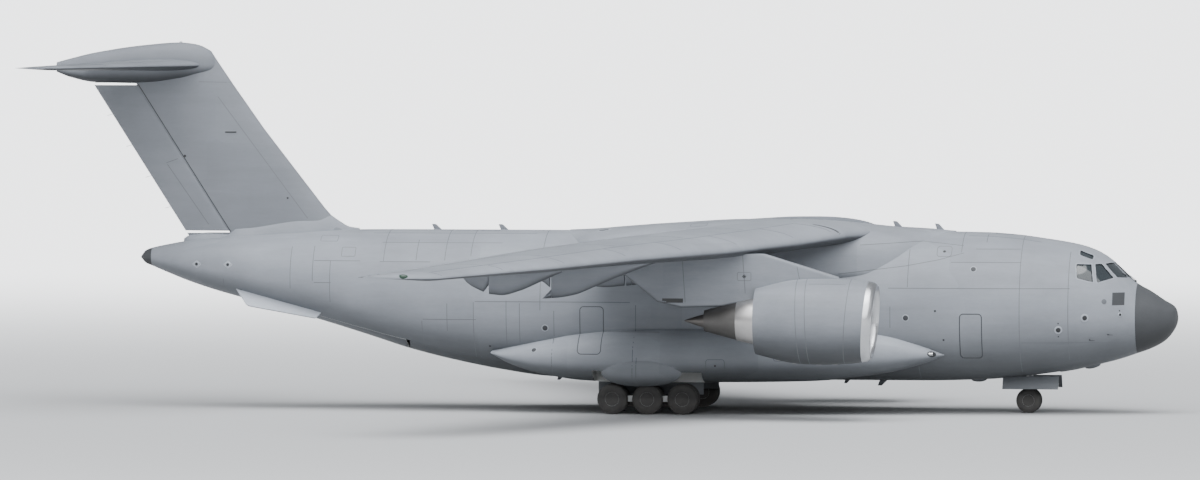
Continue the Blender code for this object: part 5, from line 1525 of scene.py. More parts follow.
def make_main_leg():
    """Makes one side's leg, rocking beam, brace, links and brake pipes."""
    y, z = GEAR_Y, MAIN_TYRE
    reach = AXLE_SPACING + 0.07

    def place(x, across, height):
        return (GEAR_X + x, y + across, height)

    outline = ((-reach, -0.035), (0.03 - reach, -0.06), (reach - 0.03, -0.06), (reach, -0.035),
               (reach, 0.035),
               (reach - 0.03, 0.055), (0.12, 0.06), (-0.12, 0.06), (0.03 - reach, 0.055), (-reach, 0.035))
    beam = prism([(GEAR_X + x, z + up) for x, up in outline], "Y", y - 0.042, y + 0.042)
    beam = add_mesh("gear_beam_left", beam, ["gear_white"])
    bevel(beam, 0.012, 3)
    bores = [rod(place(step * AXLE_SPACING, -0.1, z), place(step * AXLE_SPACING, 0.1, z), 0.038, 32)
             for step in (-1, 0, 1)]
    carve(beam, ("DIFFERENCE", merge(*bores), "steel"))
    finish_surface(beam)
    declare(beam, replaces=("main_gear_left",), slot="gear_white")
    cylinder = ((0.52, 0.052), (0.53, 0.062), (0.60, 0.064), (0.62, 0.072), (0.66, 0.072), (0.68, 0.066),
                (WELL_TOP + 0.02, 0.066))
    collar = ((z + 0.05, 0.056), (z + 0.06, 0.060), (z + 0.10, 0.060), (z + 0.115, 0.048))
    leg = [
        turned(cylinder, "Z", place(0, 0, 0), 40), turned(collar, "Z", place(0, 0, 0), 36),
        rod(place(0.03, 0, 0.60), place(0.55, 0, WELL_TOP - 0.02), 0.024, 24),
        rod(place(0.20, 0, 0.74), place(0.36, 0, 0.85), 0.030, 24),
    ]
    # Two pairs of links meet behind the leg
    knee = (-0.175, 0.475)
    for low, high in (((-0.055, z + 0.085), knee), (knee, (-0.06, 0.60))):
        for step in (-1, 1):
            start, end = place(low[0], step * 0.026, low[1]), place(high[0], step * 0.012, high[1])
            leg.append(rod(start, end, 0.012, 16))
    leg.append(rod(place(knee[0], -0.03, knee[1]), place(knee[0], 0.03, knee[1]), 0.014, 16))
    add_piece("gear_leg_left", merge(*leg), "gear_white", slot="gear_white")
    piston = rod(place(0, 0, z + 0.05), place(0, 0, 0.54), 0.042, 32)
    add_piece("gear_piston_left", piston, "chrome", slot="gear_white")
    paths = (((0.07, 0.03, 0.98), (0.085, 0.03, 0.70), (0.10, 0.035, 0.45), (0.16, 0.02, 0.368),
              (0.40, 0.02, 0.362), (0.60, 0.02, 0.355)),
             ((-0.07, 0.03, 0.98), (-0.08, 0.034, 0.70), (-0.12, 0.036, 0.44), (-0.20, 0.02, 0.366),
              (-0.42, 0.02, 0.361), (-0.60, 0.02, 0.355)))
    pipes = [hose([place(*point) for point in path], 0.007) for path in paths]
    add_piece("gear_pipes_left", merge(*pipes), "seal_rubber", slot="tyre_rubber")


def make_nose_leg():
    """Makes the nose leg with its lamps, the steered part with its links, and the nose doors."""
    x, top = NOSE_GEAR_X, NOSE_WELL_TOP - 0.032
    foot = (x, 0, 0)
    cylinder = ((0.52, 0.050), (0.53, 0.056), (0.60, 0.056), (0.61, 0.064), (0.65, 0.064), (0.66, 0.056),
                (top, 0.056))
    leg = [turned(cylinder, "Z", foot, 40),
           rod((x, 0, 0.72), (x - 0.42, 0, top - 0.02), 0.022, 20),
           rod((x - 0.14, 0, 0.903), (x - 0.26, 0, 1.06), 0.030, 20),
           rod((x, -0.10, 0.98), (x, 0.10, 0.98), 0.026, 20),
           rod((x + 0.02, -0.085, 0.70), (x + 0.02, 0.085, 0.70), 0.020, 20)]
    add_piece("nose_leg", merge(*leg), "gear_white", replaces=("nose_gear_leg",), slot="gear_white")
    lamps, cups = [], []
    for sign in (-1, 1):
        spot = (x + 0.055, sign * 0.085, 0.72)
        cups.append(turned(((-0.05, 0.012), (-0.045, 0.026), (-0.01, 0.042), (0.004, 0.044), (0.004, 0.040)),
                           "X", spot, 32))
        lamps.append(turned(((-0.005, 0.038), (0.006, 0.036), (0.011, 0.024), (0.013, 0.006)), "X", spot, 32))
    add_piece("taxi_lamp_cups", merge(*cups), "steel", slot="gear_white")
    add_piece("taxi_lamps", merge(*lamps), "lens_clear", slot="window_glass")
    knee = (x - 0.145, 0, 0.395)
    steered = [
        turned(((0.265, 0.040), (0.275, 0.050), (0.33, 0.050), (0.345, 0.038), (0.514, 0.036)), "Z", foot,
               36),
        rod((x - 0.045, 0, 0.31), knee, 0.014, 16), rod(knee, (x - 0.05, 0, 0.49), 0.014, 16),
        rod((knee[0], -0.022, knee[2]), (knee[0], 0.022, knee[2]), 0.016, 16),
        turned(((0.475, 0.044), (0.48, 0.052), (0.505, 0.052), (0.51, 0.044)), "Z", foot, 36),
    ]
    knuckle = add_mesh("nose_knuckle", block((x - 0.055, x + 0.055), (-0.045, 0.045), (0.182, 0.30)),
                       ["gear_white"])
    bevel(knuckle, 0.014, 4)
    carve(knuckle, ("DIFFERENCE", rod((x, -0.2, NOSE_TYRE), (x, 0.2, NOSE_TYRE), 0.038, 32), "steel"))
    finish_surface(knuckle)
    declare(knuckle, "nose_gear_fork", slot="gear_white")
    add_piece("nose_steered_leg", merge(*steered), "gear_white", body="nose_gear_fork",
              replaces=("nose_gear_fork",), slot="gear_white")
    make_nose_door()


def make_nose_door():
    """Makes an open nose gear door and the ribs on its inner face."""
    tilt = math.radians(32)
    hinge = Vector((0.0, NOSE_WELL_HALF + 0.012, 0.71))
    outward = Vector((0.0, math.sin(tilt), -math.cos(tilt)))
    thick = Vector((0.0, math.cos(tilt), math.sin(tilt))) * 0.016
    rings = []
    for x in (NOSE_WELL_X[0] + 0.02, NOSE_WELL_X[1] - 0.02):
        low = hinge + outward * 0.285
        rings.append([(x, point.y, point.z) for point in (hinge, low, low + thick, hinge + thick)])
    door = add_mesh("nose_door_left", loft(rings), ["body_paint"])
    bevel(door, 0.005, 3)
    carve(door, ("DIFFERENCE", body_solid(1.9, 3.6, -0.001, 0.2), "body_paint"))
    finish_surface(door)
    declare(door, replaces=("nose_gear_door_left",))
    ribs = []
    face = hinge - thick.normalized() * 0.004
    for x in spread(NOSE_WELL_X[0] + 0.10, NOSE_WELL_X[1] - 0.10, 0.2):
        along = Vector((x, 0, 0))
        ribs.append(rod(face + outward * 0.06 + along, face + outward * 0.27 + along, 0.007, 10))
    add_piece("nose_door_ribs_left", merge(*ribs), "bay_white", slot="gear_white")


def make_hold():
    """Makes the frames inside the hold and the rails and rollers on its floor."""
    frames = []
    for station in (5.3, 5.95, 6.6, 7.25, 7.9, 8.55, 9.2, 9.85, 10.5, 11.9):
        rings = [body_ring(station + step, inset, 72) for step, inset in
                 ((-0.014, 0.046), (0.014, 0.046), (0.014, 0.095), (-0.014, 0.095))]
        frames.append(hoop(rings))
    made = add_mesh("hold_frames", merge(*frames), ["lining"])
    carve(made, ("DIFFERENCE", block((-4, 8), (-2, 2), (0, 0.949)), "lining"))
    finish_surface(made)
    declare(made)
    rails, rollers = [], []
    for y in (-0.86, -0.36, 0.36, 0.86):
        for shift in (-0.045, 0.045):
            rails.append(block((at(12.1), at(4.9)), (y + shift - 0.006, y + shift + 0.006), (0.949, 0.968)))
        rollers += [rod((x, y - 0.036, 0.962), (x, y + 0.036, 0.962), 0.011, 10)
                    for x in spread(at(12.0), at(5.0), 0.16)]
    add_piece("floor_rails", merge(*rails), "steel", slot="hot_metal")
    add_piece("floor_rollers", merge(*rollers), "chrome", slot="hot_metal")
    seats = []
    for station in spread(5.4, 10.2, 0.32):
        for sign in (-1, 1):
            x = at(station)
            seats.append(block((x - 0.14, x + 0.14), sorted((sign * 0.96, sign * 1.20)), (1.30, 1.325)))
            seats.append(block((x - 0.14, x + 0.14), sorted((sign * 1.20, sign * 1.222)), (1.30, 1.72)))
    add_piece("side_seats", merge(*seats), "seat_cloth", slot="deck_grey")


# Seams that go round the body: station, lowest and highest z
RING_SEAMS = (
    (15.30, 2.88, 3.9), (14.66, 2.91, 3.30), (14.10, 2.90, 3.9), (14.02, 1.54, 2.165), (13.60, 2.99, 3.9),
    (13.50, 1.00, 2.13), (12.86, 1.31, 2.17), (12.60, 1.34, 2.14), (11.93, 0.84, 2.04), (14.52, 1.355, 1.77),
    (10.34, 1.15, 2.09), (17.15, 2.34, 3.17), (16.70, 2.475, 3.19), (16.35, 2.08, 2.90), (18.52, 2.36, 2.54),
    (2.94, 0.80, 3.9), (2.02, 1.055, 3.14), (5.09, 2.445, 3.18), (4.09, 3.11, 3.9), (5.42, 1.64, 2.10),
    (3.63, 3.29, 3.45), (4.90, 0.40, 0.95), (12.20, 1.95, 3.9),
)
# Seams along the body: z, first and last station
LONG_SEAMS = (
    (3.25, 13.02, 15.37), (2.89, 14.38, 15.37), (2.14, 10.45, 13.47), (1.79, 13.45, 14.50),
    (1.575, 9.86, 10.98),
    (2.90, 15.76, 16.68), (2.477, 16.33, 16.67), (2.44, 1.99, 5.46), (1.40, 0.83, 2.91), (2.933, 2.94, 4.28),
    (3.18, 2.96, 3.82),
)
# Seams on the wing fairing: station and z of their points
FAIRING_SEAMS = (((6.432, 2.705), (5.157, 2.859), (4.531, 2.975), (4.043, 3.107)),
                 ((4.061, 3.241), (4.866, 3.323), (6.023, 3.259)))
# Round ports with a dark lens: station, z, radius
PORTS = (
    (1.706, 1.879, 0.078), (2.203, 1.649, 0.078), (1.052, 1.934, 0.042), (19.06, 2.804, 0.052),
    (18.417, 2.802, 0.052),
)
# Flat discs: station, z, radius, finish
DISCS = (
    (1.347, 2.187, 0.050, "seam"), (3.836, 2.804, 0.050, "plate_grey"), (4.551, 2.009, 0.020, "sensor_dark"),
    (4.394, 1.451, 0.020, "sensor_dark"), (5.119, 1.872, 0.052, "plate_grey"),
    (12.104, 1.637, 0.052, "plate_grey"),
    (12.292, 1.219, 0.046, "plate_grey"), (13.201, 1.275, 0.020, "sensor_dark"),
    (1.06, 2.010, 0.014, "sensor_dark"),
    (2.203, 1.775, 0.014, "sensor_dark"), (2.203, 1.520, 0.014, "sensor_dark"),
    (8.742, 0.948, 0.018, "sensor_dark"), (4.42, 3.133, 0.030, "sensor_dark"),
)
# Outlined hatches on the sides: station range, z range, corner radius
HATCHES = (
    ((4.28, 4.56), (3.04, 3.23), 0.05), ((15.875, 16.145), (2.985, 3.155), 0.02),
    ((16.27, 16.61), (3.265, 3.37), 0.02), ((8.56, 8.92), (0.825, 1.07), 0.05),
    ((6.35, 6.75), (1.02, 1.36), 0.05),
    ((7.30, 7.62), (1.05, 1.32), 0.05), ((12.45, 12.75), (2.45, 2.70), 0.04),
)


def oval_disc(found, radius, stretch, rise=0.004):
    """Makes a disc on a surface, stretched along the body."""
    point, normal = found
    across = normal.cross(Vector((1, 0, 0))).normalized()
    turn = Matrix((across.cross(normal), across, normal)).transposed().to_4x4()
    flat = disc((Vector((0, 0, 0)), Vector((0, 0, 1))), radius, rise, 0.002, 32)
    return moved(flat, Matrix.Translation(point) @ turn @ Matrix.Diagonal((stretch, 1.0, 1.0, 1.0)))


def make_body_details():
    """Lays seams, hatches, ports, aerials and bumps on the body."""
    width = bpy.context.scene.plane_looks.seam_width
    skin = Surface("body_shell", "wing_root_fairing", "pod_left", "pod_right", "nose_cone", "tail_end_cap",
                   "jump_door_skin_left", "jump_door_skin_right", "crew_door_skin_left",
                   "crew_door_skin_right")
    seams, dark, rims, doors, plates, lamps = [], [], [], [], [], []
    by_finish = {"seam": seams, "sensor_dark": dark, "plate_grey": plates}
    for sign in (1, -1):
        def side(x, z, sign=sign):
            return skin.side(x, z, sign)

        for station, low, high in RING_SEAMS:
            track = []
            for x, y, z in body_ring(station, corners=240):
                if y * sign < -0.001 or not low <= z <= high:
                    continue
                up = z - BODY_MIDDLE
                outward = Vector((0, y, up * 1.2)).normalized()
                track.append((math.atan2(up, y * sign),
                              skin.cast(Vector((x, y, z)) + outward * 1.5, -outward)))
            track = [found for _, found in sorted(track, key=lambda pair: pair[0]) if found]
            if len(track) > 1:
                seams.append(ribbon(track, width))
        for z, first, last in LONG_SEAMS:
            seams.append(line_on(side, ((at(first), z), (at(last), z)), width))
        for points in FAIRING_SEAMS:
            seams.append(line_on(side, [(at(station), z) for station, z in points], width))
        for (front, rear), (low, high), radius in HATCHES:
            seams.append(line_on(side, rounded_outline((at(rear), low), (at(front), high), radius),
                                 width * 0.8,
                                 0.04, True))
        seams.append(line_on(side, ((at(10.265), 0.56), (at(10.265), 1.10)), width))
        for station, z, radius in PORTS:
            found = side(at(station), z)
            rims.append(disc(found, radius, 0.010, 0.006, 36))
            dark.append(disc(found, radius * 0.62, 0.018, 0.008, 32))
        for station, z, radius, finish in DISCS:
            by_finish[finish].append(disc(side(at(station), z), radius, 0.006, 0.003, 28))
            if finish == "plate_grey":
                rims.append(disc(side(at(station), z), radius * 1.3, 0.003, 0.002, 32))
        plates.append(plate(side, (at(1.20), 2.116), (at(0.975), 2.355)))
        # The outlines of the side doors
        for row in (CREW_DOOR, JUMP_DOOR):
            doors.append(line_on(side, door_outline(row, -0.005, 0.075), 0.012, 0.03, True, 0.001))
        # The lamp at the pod's nose sits on a dark oval disc, painted as the shade of the hollow it lies in
        point, normal = side(at(4.623), 1.176)
        dark.append(oval_disc((point, normal), 0.055, 1.7))
        lamps.append(rod(point - Vector((0.075, 0, 0)) + normal * 0.004,
                         point + Vector((0.02, 0, 0)) + normal * 0.01,
                         0.028, 20, 0.032))
        # A sooty air outlet on the body's top, behind the wing
        outlet = skin.above(at(11.07), -0.60 * sign)
        rims.append(oval_disc(outlet, 0.062, 2.3))
        plates.append(oval_disc(outlet, 0.040, 2.6, 0.006))
        # Small probes beside the nose
        for station, z in ((1.28, 1.56), (1.62, 1.46)):
            point, normal = side(at(station), z)
            foot = point + normal * 0.035
            dark.append(rod(point - normal * 0.01, foot, 0.008, 12))
            dark.append(rod(foot - Vector((0.02, 0, 0)), foot + Vector((0.09, 0, 0)), 0.007, 12, 0.004))
        # The sensors at the tail sit on diamond plates
        for station in (19.06, 18.417):
            diamond = [(at(station) + dx, 2.803 + dz)
                       for dx, dz in ((0.085, 0), (0, 0.07), (-0.085, 0), (0, -0.07))]
            rims.append(line_on(side, diamond, 0.016, 0.02, True, 0.004))
    # Seams along the crown and outlines of hatches on the top and the belly
    for low, high in ((2.6, 4.0), (12.4, 15.6)):
        for y in (-0.42, 0.42):
            seams.append(line_on(skin.above, ((at(low), y), (at(high), y)), width))
    for station, y, half_x, half_y in ((3.35, 0.0, 0.16, 0.19), (13.35, 0.0, 0.17, 0.20),
                                       (9.2, 0.75, 0.16, 0.11),
                                       (9.2, -0.75, 0.16, 0.11), (7.2, 0.0, 0.30, 0.24)):
        outline = rounded_outline((at(station) - half_x, y - half_y), (at(station) + half_x, y + half_y),
                                  0.05)
        seams.append(line_on(skin.above, outline, width, 0.04, True))
    for station, half_y in ((2.4, 0.34), (5.9, 0.45), (6.9, 0.45), (8.1, 0.45)):
        outline = rounded_outline((at(station) - 0.22, -half_y), (at(station) + 0.22, half_y), 0.05)
        seams.append(line_on(skin.below, outline, width, 0.05, True))
    for y in (-0.55, 0.55):
        seams.append(line_on(skin.below, ((at(5.2), y), (at(11.9), y)), width))
    add_piece("body_seams", merge(*seams), "seam")
    add_piece("door_frames", merge(*doors), "door_seam")
    add_piece("sensor_plates", merge(*plates), "plate_grey")
    add_piece("pod_lamps", merge(*lamps), "chrome", slot="window_glass")
    add_piece("sensor_rims", merge(*rims), "seam_light")
    add_piece("sensor_lenses_and_hollow_shade", merge(*dark), "sensor_dark", slot="window_glass")

    aerials = [blade(skin.above(at(station), 0.0), 0.15, 0.105, 0.75)
               for station in (14.41, 13.10, 5.41, 4.60)]
    aerials.append(blade(skin.below(at(5.70), 0.0), 0.15, 0.11, 0.7))
    aerials += [blade(skin.below(at(station), y), 0.10, 0.07, 0.6)
                for station, y in ((3.0, 0.25), (3.0, -0.25), (12.0, 0.0), (6.4, 0.0))]
    add_piece("blade_aerials", merge(*aerials), "rudder_paint")
    bumps = [blister(start, end, 0.16, 0.05, skin.below) for start, end in ((6.98, 7.28), (9.18, 9.48))]
    add_piece("aerial_bumps", merge(*bumps), "body_paint")


def make_wipers():
    """Makes a wiper on each windshield."""
    skin = Surface("body_shell", "cockpit_glass", "nose_cone")
    shapes = []
    path = ((0.83, 0.10), (0.90, 0.13), (0.98, 0.20), (1.06, 0.29))
    for sign in (1, -1):
        spots = [skin.above(at(station), sign * y) for station, y in path]
        shapes.append(hose([point + normal * 0.012 for point, normal in spots], 0.006))
        shapes.append(disc(spots[0], 0.020, 0.022, 0.008, 20))
    add_piece("wipers", merge(*shapes), "deck_black", slot="tyre_rubber")


def make_wing_details():
    """Lays slat lines, panel lines, fuel covers, lights and static wicks on the wings."""
    width = bpy.context.scene.plane_looks.seam_width
    seams = []
    skin = Surface("wing_skin_left", "flap_inboard_skin_left", "flap_outboard_skin_left")
    for upper in (True, False):
        find = skin.above if upper else skin.below
        rows = [((1.75, 0.17), (6.3, 0.175), (10.75, 0.20))]
        rows += [((1.70, 0.585), (7.75, 0.585)), ((7.75, 0.585), (10.6, 0.60))] if upper else []
        rows += [((1.9, 0.30), (10.3, 0.32)), ((2.0, 0.66), (10.5, 0.64))] if not upper else []
        rows += [((y, 0.02 if upper else 0.03), (y, 0.17))
                 for y in (1.75, 2.65, 4.0, 5.3, 6.6, 8.0, 9.4, 10.75)]
        rows += [((y, 0.20), (y, 0.58))
                 for y in ((2.9, 4.5, 6.2, 7.9, 9.5) if upper else (3.05, 5.0, 7.0, 9.0))]
        for points in rows:
            track = []
            for spot in resample([(y, f * 8, 0.0) for y, f in points], 0.12):
                x, y, _ = wing_place(spot.x, spot.y / 8, 0.0)
                track.append(find(x, y))
            if len([found for found in track if found]) > 1:
                seams.append(ribbon(track, width))
    for i in range(13):
        y = 2.05 + i * 0.66
        if abs(y - ENGINE_Y) < 0.3:
            continue
        x, _, _ = wing_place(y, 0.42, 0.0)
        outline = [(x + 0.055 * c - 0.042 * s, y + 0.10 * s) for c, s in circle(28)]
        seams.append(line_on(skin.below, outline, width * 0.7, 0.03, True))
    wicks = {"aileron_left": [], "airframe": [], "elevator_left": []}
    for y in (8.5, 9.1, 9.7, 10.3, 10.65, 10.90, 11.0):
        x, _, z = wing_place(y, 0.995, 0.0)
        wick = rod((x + 0.01, y, z), (x - 0.11, y, z - 0.004), 0.0035, 8)
        wicks["aileron_left" if y < AILERON_SPAN[1] else "airframe"].append(wick)
    for y in (1.2, 2.2, 3.1, 3.7):
        _, rear, z, _ = read_lines(TAILPLANE_ROWS, y)
        wicks["elevator_left"].append(rod((rear + 0.01, y, z), (rear - 0.055, y, z), 0.0032, 8))
    for body, shapes in wicks.items():
        add_piece(f"wicks_{body}" if "left" in body else "wicks_tip_left", merge(*shapes), "static_wick",
                  body=body,
                  slot="tyre_rubber")
    lens = []
    for i in range(13):
        t = math.sin(math.pi * (i / 12 - 0.5)) * 0.998
        size = math.sqrt(max(1 - t * t, 0.004))
        x, y, z = wing_place(11.04, 0.22, foil_point(0.22, True, 0.085, CAMBER) * 0.4)
        lens.append([(x + t * 0.10, y + 0.045 * size * c, z + 0.050 * size * s) for c, s in circle(20)])
    add_piece("tip_light_left", loft(lens), "lens_red", slot="window_glass")
    vents_and_shade_strip = [disc(skin.below(wing_place(y, 0.55, 0)[0], y), 0.022, 0.004, 0.002, 20) for y in (9.9, 10.4)]
    # A dark strip painted as the shadow in the recess where the slat ends at the wing's root
    track = []
    for part in spread(0.004, 0.11, 0.008):
        x, y, _ = wing_place(1.62, part, 0.0)
        track.append(skin.above(x, y))
    vents_and_shade_strip.append(ribbon(track, 0.045))
    add_piece("wing_vents_left", merge(*vents_and_shade_strip), "sensor_dark")
    add_piece("wing_seams_left", merge(*seams), "seam")


def make_engine_details():
    """Lays the cowl's joints, latches and hatches, and the pylon's fittings."""
    width = bpy.context.scene.plane_looks.seam_width
    skin = Surface("cowl_left")
    seams, latches, dark = [], [], []

    def around(x, a):
        outward = Vector((0, math.cos(a), math.sin(a)))
        start = Vector((x, ENGINE_Y, ENGINE_Z)) + outward * 1.4
        return skin.cast(start, -outward)

    for base, shift in ((4.09, 0.035), (4.27, 0.030), (5.02, -0.06)):
        track = [around(base - shift * math.sin(2 * math.pi * i / 96), 2 * math.pi * i / 96)
                 for i in range(97)]
        seams.append(ribbon(track, width, closed=True))
    for a, low, high in ((-math.pi / 2, 3.4, 5.0), (math.radians(62), 4.30, 5.0),
                         (math.radians(118), 4.30, 5.0)):
        seams.append(ribbon([around(x, a) for x in spread(low, high, 0.05)], width))
    for x in (3.7, 4.0, 4.45, 4.75):
        point, _ = around(x, -math.pi / 2)
        latches.append(moved(block((-0.05, 0.05), (-0.014, 0.014), (-0.006, 0.006)),
                             Matrix.Translation(point)))
    add_piece("cowl_seams_left", merge(*seams), "seam")
    add_piece("cowl_latches_left", merge(*latches), "steel", slot="hot_metal")
    pylon = Surface("pylon_skin_left")
    marks = []
    for face in (1, -1):
        def flank(x, z, face=face):
            return pylon.cast((x, ENGINE_Y + face * 0.6, z), (0, -face, 0))

        for points in (((3.05, 2.42), (3.0, 3.14)), ((4.1, 2.62), (4.04, 2.93)), ((1.9, 2.24), (1.84, 3.14))):
            marks.append(line_on(flank, points, width))
        marks.append(line_on(flank, rounded_outline((2.90, 2.66), (3.16, 2.82), 0.03), width * 0.8, 0.04,
                             True))
        diamond = [(3.03 + dx, 2.74 + dz) for dx, dz in ((0.035, 0), (0, 0.035), (-0.035, 0), (0, -0.035))]
        dark.append(line_on(flank, diamond, 0.012, 0.01, True))
        dark.append(disc(flank(3.03, 2.74), 0.022, 0.004, 0.002, 4))
        dark.append(plate(flank, (1.46, 2.235), (1.86, 2.315)))
    add_piece("pylon_seams_left", merge(*marks), "seam")
    add_piece("pylon_marks_left", merge(*dark), "sensor_dark")


def make_tail_details():
    """Lays seams on the fin and tailplane, and adds the small fittings there."""
    width = bpy.context.scene.plane_looks.seam_width
    skin = Surface("fin_skin", "tail_bullet", "fin_foot_ridge")
    rudder = Surface("rudder_skin")
    seams, dark, tabs, hinge = [], [], [], []
    for sign in (1, -1):
        def side(x, z, sign=sign):
            return skin.side(x, z, sign)

        def moving(x, z, sign=sign):
            return rudder.side(x, z, sign)

        for points in (((18.721, 6.048), (16.951, 3.687)), ((19.10, 6.337), (18.506, 6.325))):
            seams.append(line_on(side, [(at(station), z) for station, z in points], width))
        # The fin's rear edge, where it meets the rudder
        edge = [(read_lines(FIN_ROWS, z)[1] + 0.066, z) for z in spread(3.42, 6.28, 0.2)]
        hinge.append(line_on(side, edge, 0.016))
        dark.append(disc(side(at(17.345), 4.081), 0.020, 0.006, 0.003, 20))
        dark.append(disc(side(at(19.38), 4.892), 0.024, 0.010, 0.004, 20))
        for points in (((19.734, 4.724), (18.92, 3.56)), ((19.755, 4.755), (19.523, 4.837))):
            tabs.append(line_on(moving, [(at(station), z) for station, z in points], width))
        spot = Vector(side(at(18.465), 5.36)[0])
        dark.append(rod(spot - Vector((0.11, 0, 0)), spot + Vector((0.11, 0, 0)), 0.014, 12))
    wicks = []
    for z in (3.9, 4.5, 5.1, 5.7):
        _, _, rear = read_lines(FIN_ROWS, z)
        wicks.append(rod((rear + 0.01, 0, z), (rear - 0.11, 0, z - 0.03), 0.0035, 8))
    add_piece("tail_seams", merge(*seams), "seam")
    add_piece("rudder_hinge_line", merge(*hinge), "seal_rubber")
    add_piece("rudder_seams", merge(*tabs), "seam", body="rudder")
    add_piece("rudder_wicks", merge(*wicks), "static_wick", body="rudder", slot="tyre_rubber")
    add_piece("tail_dots", merge(*dark), "sensor_dark")
    light = disc(skin.above(-8.50, 0.0), 0.030, 0.024, 0.020, 28)
    add_piece("fin_light", light, "lens_clear", slot="window_glass")
    tail_light = disc((Vector((-10.957, 0.0, 6.615)), Vector((-1, 0, 0))), 0.018, 0.014, 0.010, 24)
    add_piece("tail_light", tail_light, "lens_clear", slot="window_glass")
    tail = Surface("tailplane_skin_left")
    shapes = []
    for find in (tail.above, tail.below):
        for first, last in (((0.5, 0.14), (3.8, 0.16)), ((0.5, 0.55), (3.8, 0.55)),
                            ((1.6, 0.03), (1.6, 0.66)),
                            ((2.8, 0.03), (2.8, 0.66))):
            track = []
            for t in spread(0.0, 1.0, 0.04):
                y = first[0] + (last[0] - first[0]) * t
                part = first[1] + (last[1] - first[1]) * t
                nose, rear, _, _ = read_lines(TAILPLANE_ROWS, y)
                track.append(find(nose + (rear - nose) * part, y))
            shapes.append(ribbon(track, width))
    add_piece("tailplane_seams_left", merge(*shapes), "seam")


def make_stage():
    """Makes the pale floor, the soft lights and the camera at the photo's angle."""
    looks = bpy.context.scene.plane_looks
    finish = Finish("stage_floor")
    here = finish.place()
    away = finish.node("ShaderNodeVectorMath", {"operation": "LENGTH"}, {0: here}, "Value")
    far = finish.step(away, 9.0, 75.0)
    soft = finish.noise(here, 0.02, 3.0)
    near = finish.mix(soft, (0.50, 0.504, 0.51), (0.53, 0.534, 0.54))
    finish.set(base_color=finish.mix(far, near, (0.94, 0.945, 0.95)), roughness=0.92, specular_ior_level=0.1)
    finish.set(emission_color=finish.mix(far * far, (0.0, 0.0, 0.0), (1.0, 1.0, 1.0)), emission_strength=1.4)
    floor = bpy.data.objects.new("stage_floor", bpy.data.meshes.new("stage_floor"))
    corners = [(-3000, -1500, 0), (3000, -1500, 0), (3000, 6000, 0), (-3000, 6000, 0)]
    floor.data.from_pydata(corners, [], [(0, 1, 2, 3)])
    floor.data.materials.append(finish.material)
    bpy.context.scene.collection.objects.link(floor)

    for name, strength, angle, turn, tint in (
        ("key", looks.key_light, 75.0, (40.0, 4.0, 6.0), (0.96, 0.98, 1.0)),
        ("top", looks.top_light, 50.0, (10.0, 0.0, 0.0), (0.96, 0.98, 1.0)),
    ):
        lamp_data = bpy.data.lights.new(name, "SUN")
        lamp_data.energy = strength
        lamp_data.angle = math.radians(angle)
        lamp_data.color = tint
        sun = bpy.data.objects.new(name, lamp_data)
        sun.rotation_euler = [math.radians(part) for part in turn]
        bpy.context.scene.collection.objects.link(sun)
    world = bpy.data.worlds.new("studio")
    world.use_nodes = True
    background = world.node_tree.nodes["Background"]
    background.inputs["Color"].default_value = (0.93, 0.96, 1.0, 1.0)
    background.inputs["Strength"].default_value = looks.fill_light
    bpy.context.scene.world = world

    ahead, tilt = math.radians(CAMERA_AHEAD), math.radians(CAMERA_UP)
    toward = Vector((math.sin(ahead) * math.cos(tilt), -math.cos(ahead) * math.cos(tilt), math.sin(tilt)))
    data = bpy.data.cameras.new("camera")
    data.sensor_width = 36.0
    data.lens = CAMERA_LENS
    data.clip_start = 1.0
    data.clip_end = 9000.0
    camera = bpy.data.objects.new("camera", data)
    camera.location = Vector(CAMERA_TARGET) + toward * CAMERA_DISTANCE
    camera.rotation_euler = toward.to_track_quat("Z", "Y").to_euler()
    bpy.context.scene.collection.objects.link(camera)
    bpy.context.scene.camera = camera


class PlaneLooks(bpy.types.PropertyGroup):
    """Colours and sizes that a user may change."""

    paint: bpy.props.FloatVectorProperty(
        name="Paint", description="Colour of the plane's paint", subtype="COLOR", size=3, min=0, max=1,
        default=(0.272, 0.290, 0.322))
    nose: bpy.props.FloatVectorProperty(
        name="Nose", description="Colour of the nose cone and the tail cap", subtype="COLOR", size=3, min=0,
        max=1,
        default=(0.070, 0.073, 0.078))
    gloss: bpy.props.FloatProperty(
        name="Roughness", description="Roughness of the paint", default=0.46, min=0.1, max=1)
    seam_width: bpy.props.FloatProperty(
        name="Seam width", description="Width of the panel seams", default=0.012, min=0.002, max=0.05,
        unit="LENGTH")
    key_light: bpy.props.FloatProperty(
        name="Key light", description="Strength of the light from above", default=3.7, min=0)
    top_light: bpy.props.FloatProperty(
        name="Top light", description="Strength of the soft light from overhead", default=2.5, min=0)
    fill_light: bpy.props.FloatProperty(
        name="Fill light", description="Strength of the light from all round", default=0.32, min=0)


class PLANE_OT_finishes(bpy.types.Operator):
    """Make every finish"""

    bl_idname = "plane.finishes"
    bl_label = "Finishes"

    def execute(self, context):
        make_finishes(context.scene.plane_looks)
        return {"FINISHED"}


class PLANE_OT_body(bpy.types.Operator):
    """Build the body's skin, doors, fairings and pods"""

    bl_idname = "plane.body"
    bl_label = "Body"

    def execute(self, context):
        make_body()
        mirror_port_pieces()
        return {"FINISHED"}


class PLANE_OT_cockpit(bpy.types.Operator):
    """Build the windows and the flight deck"""

    bl_idname = "plane.cockpit"
    bl_label = "Cockpit"

    def execute(self, context):
        make_cockpit()
        make_wipers()
        return {"FINISHED"}


class PLANE_OT_hold(bpy.types.Operator):
    """Build the fittings inside the hold"""

    bl_idname = "plane.hold"
    bl_label = "Hold"

    def execute(self, context):
        make_hold()
        return {"FINISHED"}


class PLANE_OT_wings(bpy.types.Operator):
    """Build the wings and their moving surfaces"""

    bl_idname = "plane.wings"
    bl_label = "Wings"

    def execute(self, context):
        make_wing()
        make_wing_details()
        mirror_port_pieces()
        return {"FINISHED"}


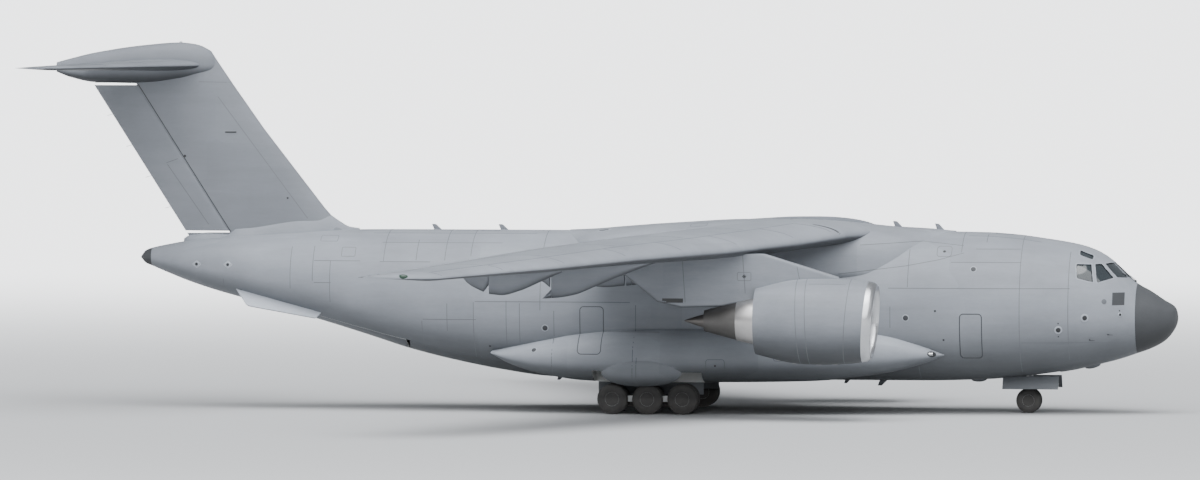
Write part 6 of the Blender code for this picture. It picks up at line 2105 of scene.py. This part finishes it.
class PLANE_OT_engines(bpy.types.Operator):
    """Build the engines and pylons"""

    bl_idname = "plane.engines"
    bl_label = "Engines"

    def execute(self, context):
        make_engines()
        make_engine_details()
        mirror_port_pieces()
        return {"FINISHED"}


class PLANE_OT_tail(bpy.types.Operator):
    """Build the fin, rudder, tailplane, elevators and strakes"""

    bl_idname = "plane.tail"
    bl_label = "Tail"

    def execute(self, context):
        make_tail()
        make_tail_details()
        mirror_port_pieces()
        return {"FINISHED"}


class PLANE_OT_gear(bpy.types.Operator):
    """Build the wheels, legs and gear doors"""

    bl_idname = "plane.gear"
    bl_label = "Landing gear"

    def execute(self, context):
        make_gear()
        mirror_port_pieces()
        return {"FINISHED"}


class PLANE_OT_details(bpy.types.Operator):
    """Lay the seams, ports and aerials on the body"""

    bl_idname = "plane.details"
    bl_label = "Body details"

    def execute(self, context):
        make_body_details()
        return {"FINISHED"}


class PLANE_OT_stage(bpy.types.Operator):
    """Build the floor, the lights and the camera"""

    bl_idname = "plane.stage"
    bl_label = "Stage"

    def execute(self, context):
        make_stage()
        return {"FINISHED"}


STEPS = ("finishes", "body", "cockpit", "hold", "wings", "engines", "tail", "gear", "details", "stage")


class VIEW3D_PT_plane(bpy.types.Panel):
    """The plane's settings and building steps"""

    bl_label = "Transport plane"
    bl_space_type = "VIEW_3D"
    bl_region_type = "UI"
    bl_category = "Plane"

    def draw(self, context):
        for name in ("paint", "nose", "gloss", "seam_width", "key_light", "top_light", "fill_light"):
            self.layout.prop(context.scene.plane_looks, name)
        for step in STEPS:
            self.layout.operator(f"plane.{step}")


CLASSES = (PlaneLooks, PLANE_OT_finishes, PLANE_OT_body, PLANE_OT_cockpit, PLANE_OT_hold, PLANE_OT_wings,
           PLANE_OT_engines, PLANE_OT_tail, PLANE_OT_gear, PLANE_OT_details, PLANE_OT_stage, VIEW3D_PT_plane)


def register():
    for cls in CLASSES:
        bpy.utils.register_class(cls)
    bpy.types.Scene.plane_looks = bpy.props.PointerProperty(type=PlaneLooks)


def unregister():
    del bpy.types.Scene.plane_looks
    for cls in reversed(CLASSES):
        bpy.utils.unregister_class(cls)


def main():
    """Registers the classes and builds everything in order."""
    register()
    for step in STEPS:
        getattr(bpy.ops.plane, step)()


if __name__ == "__main__":
    main()
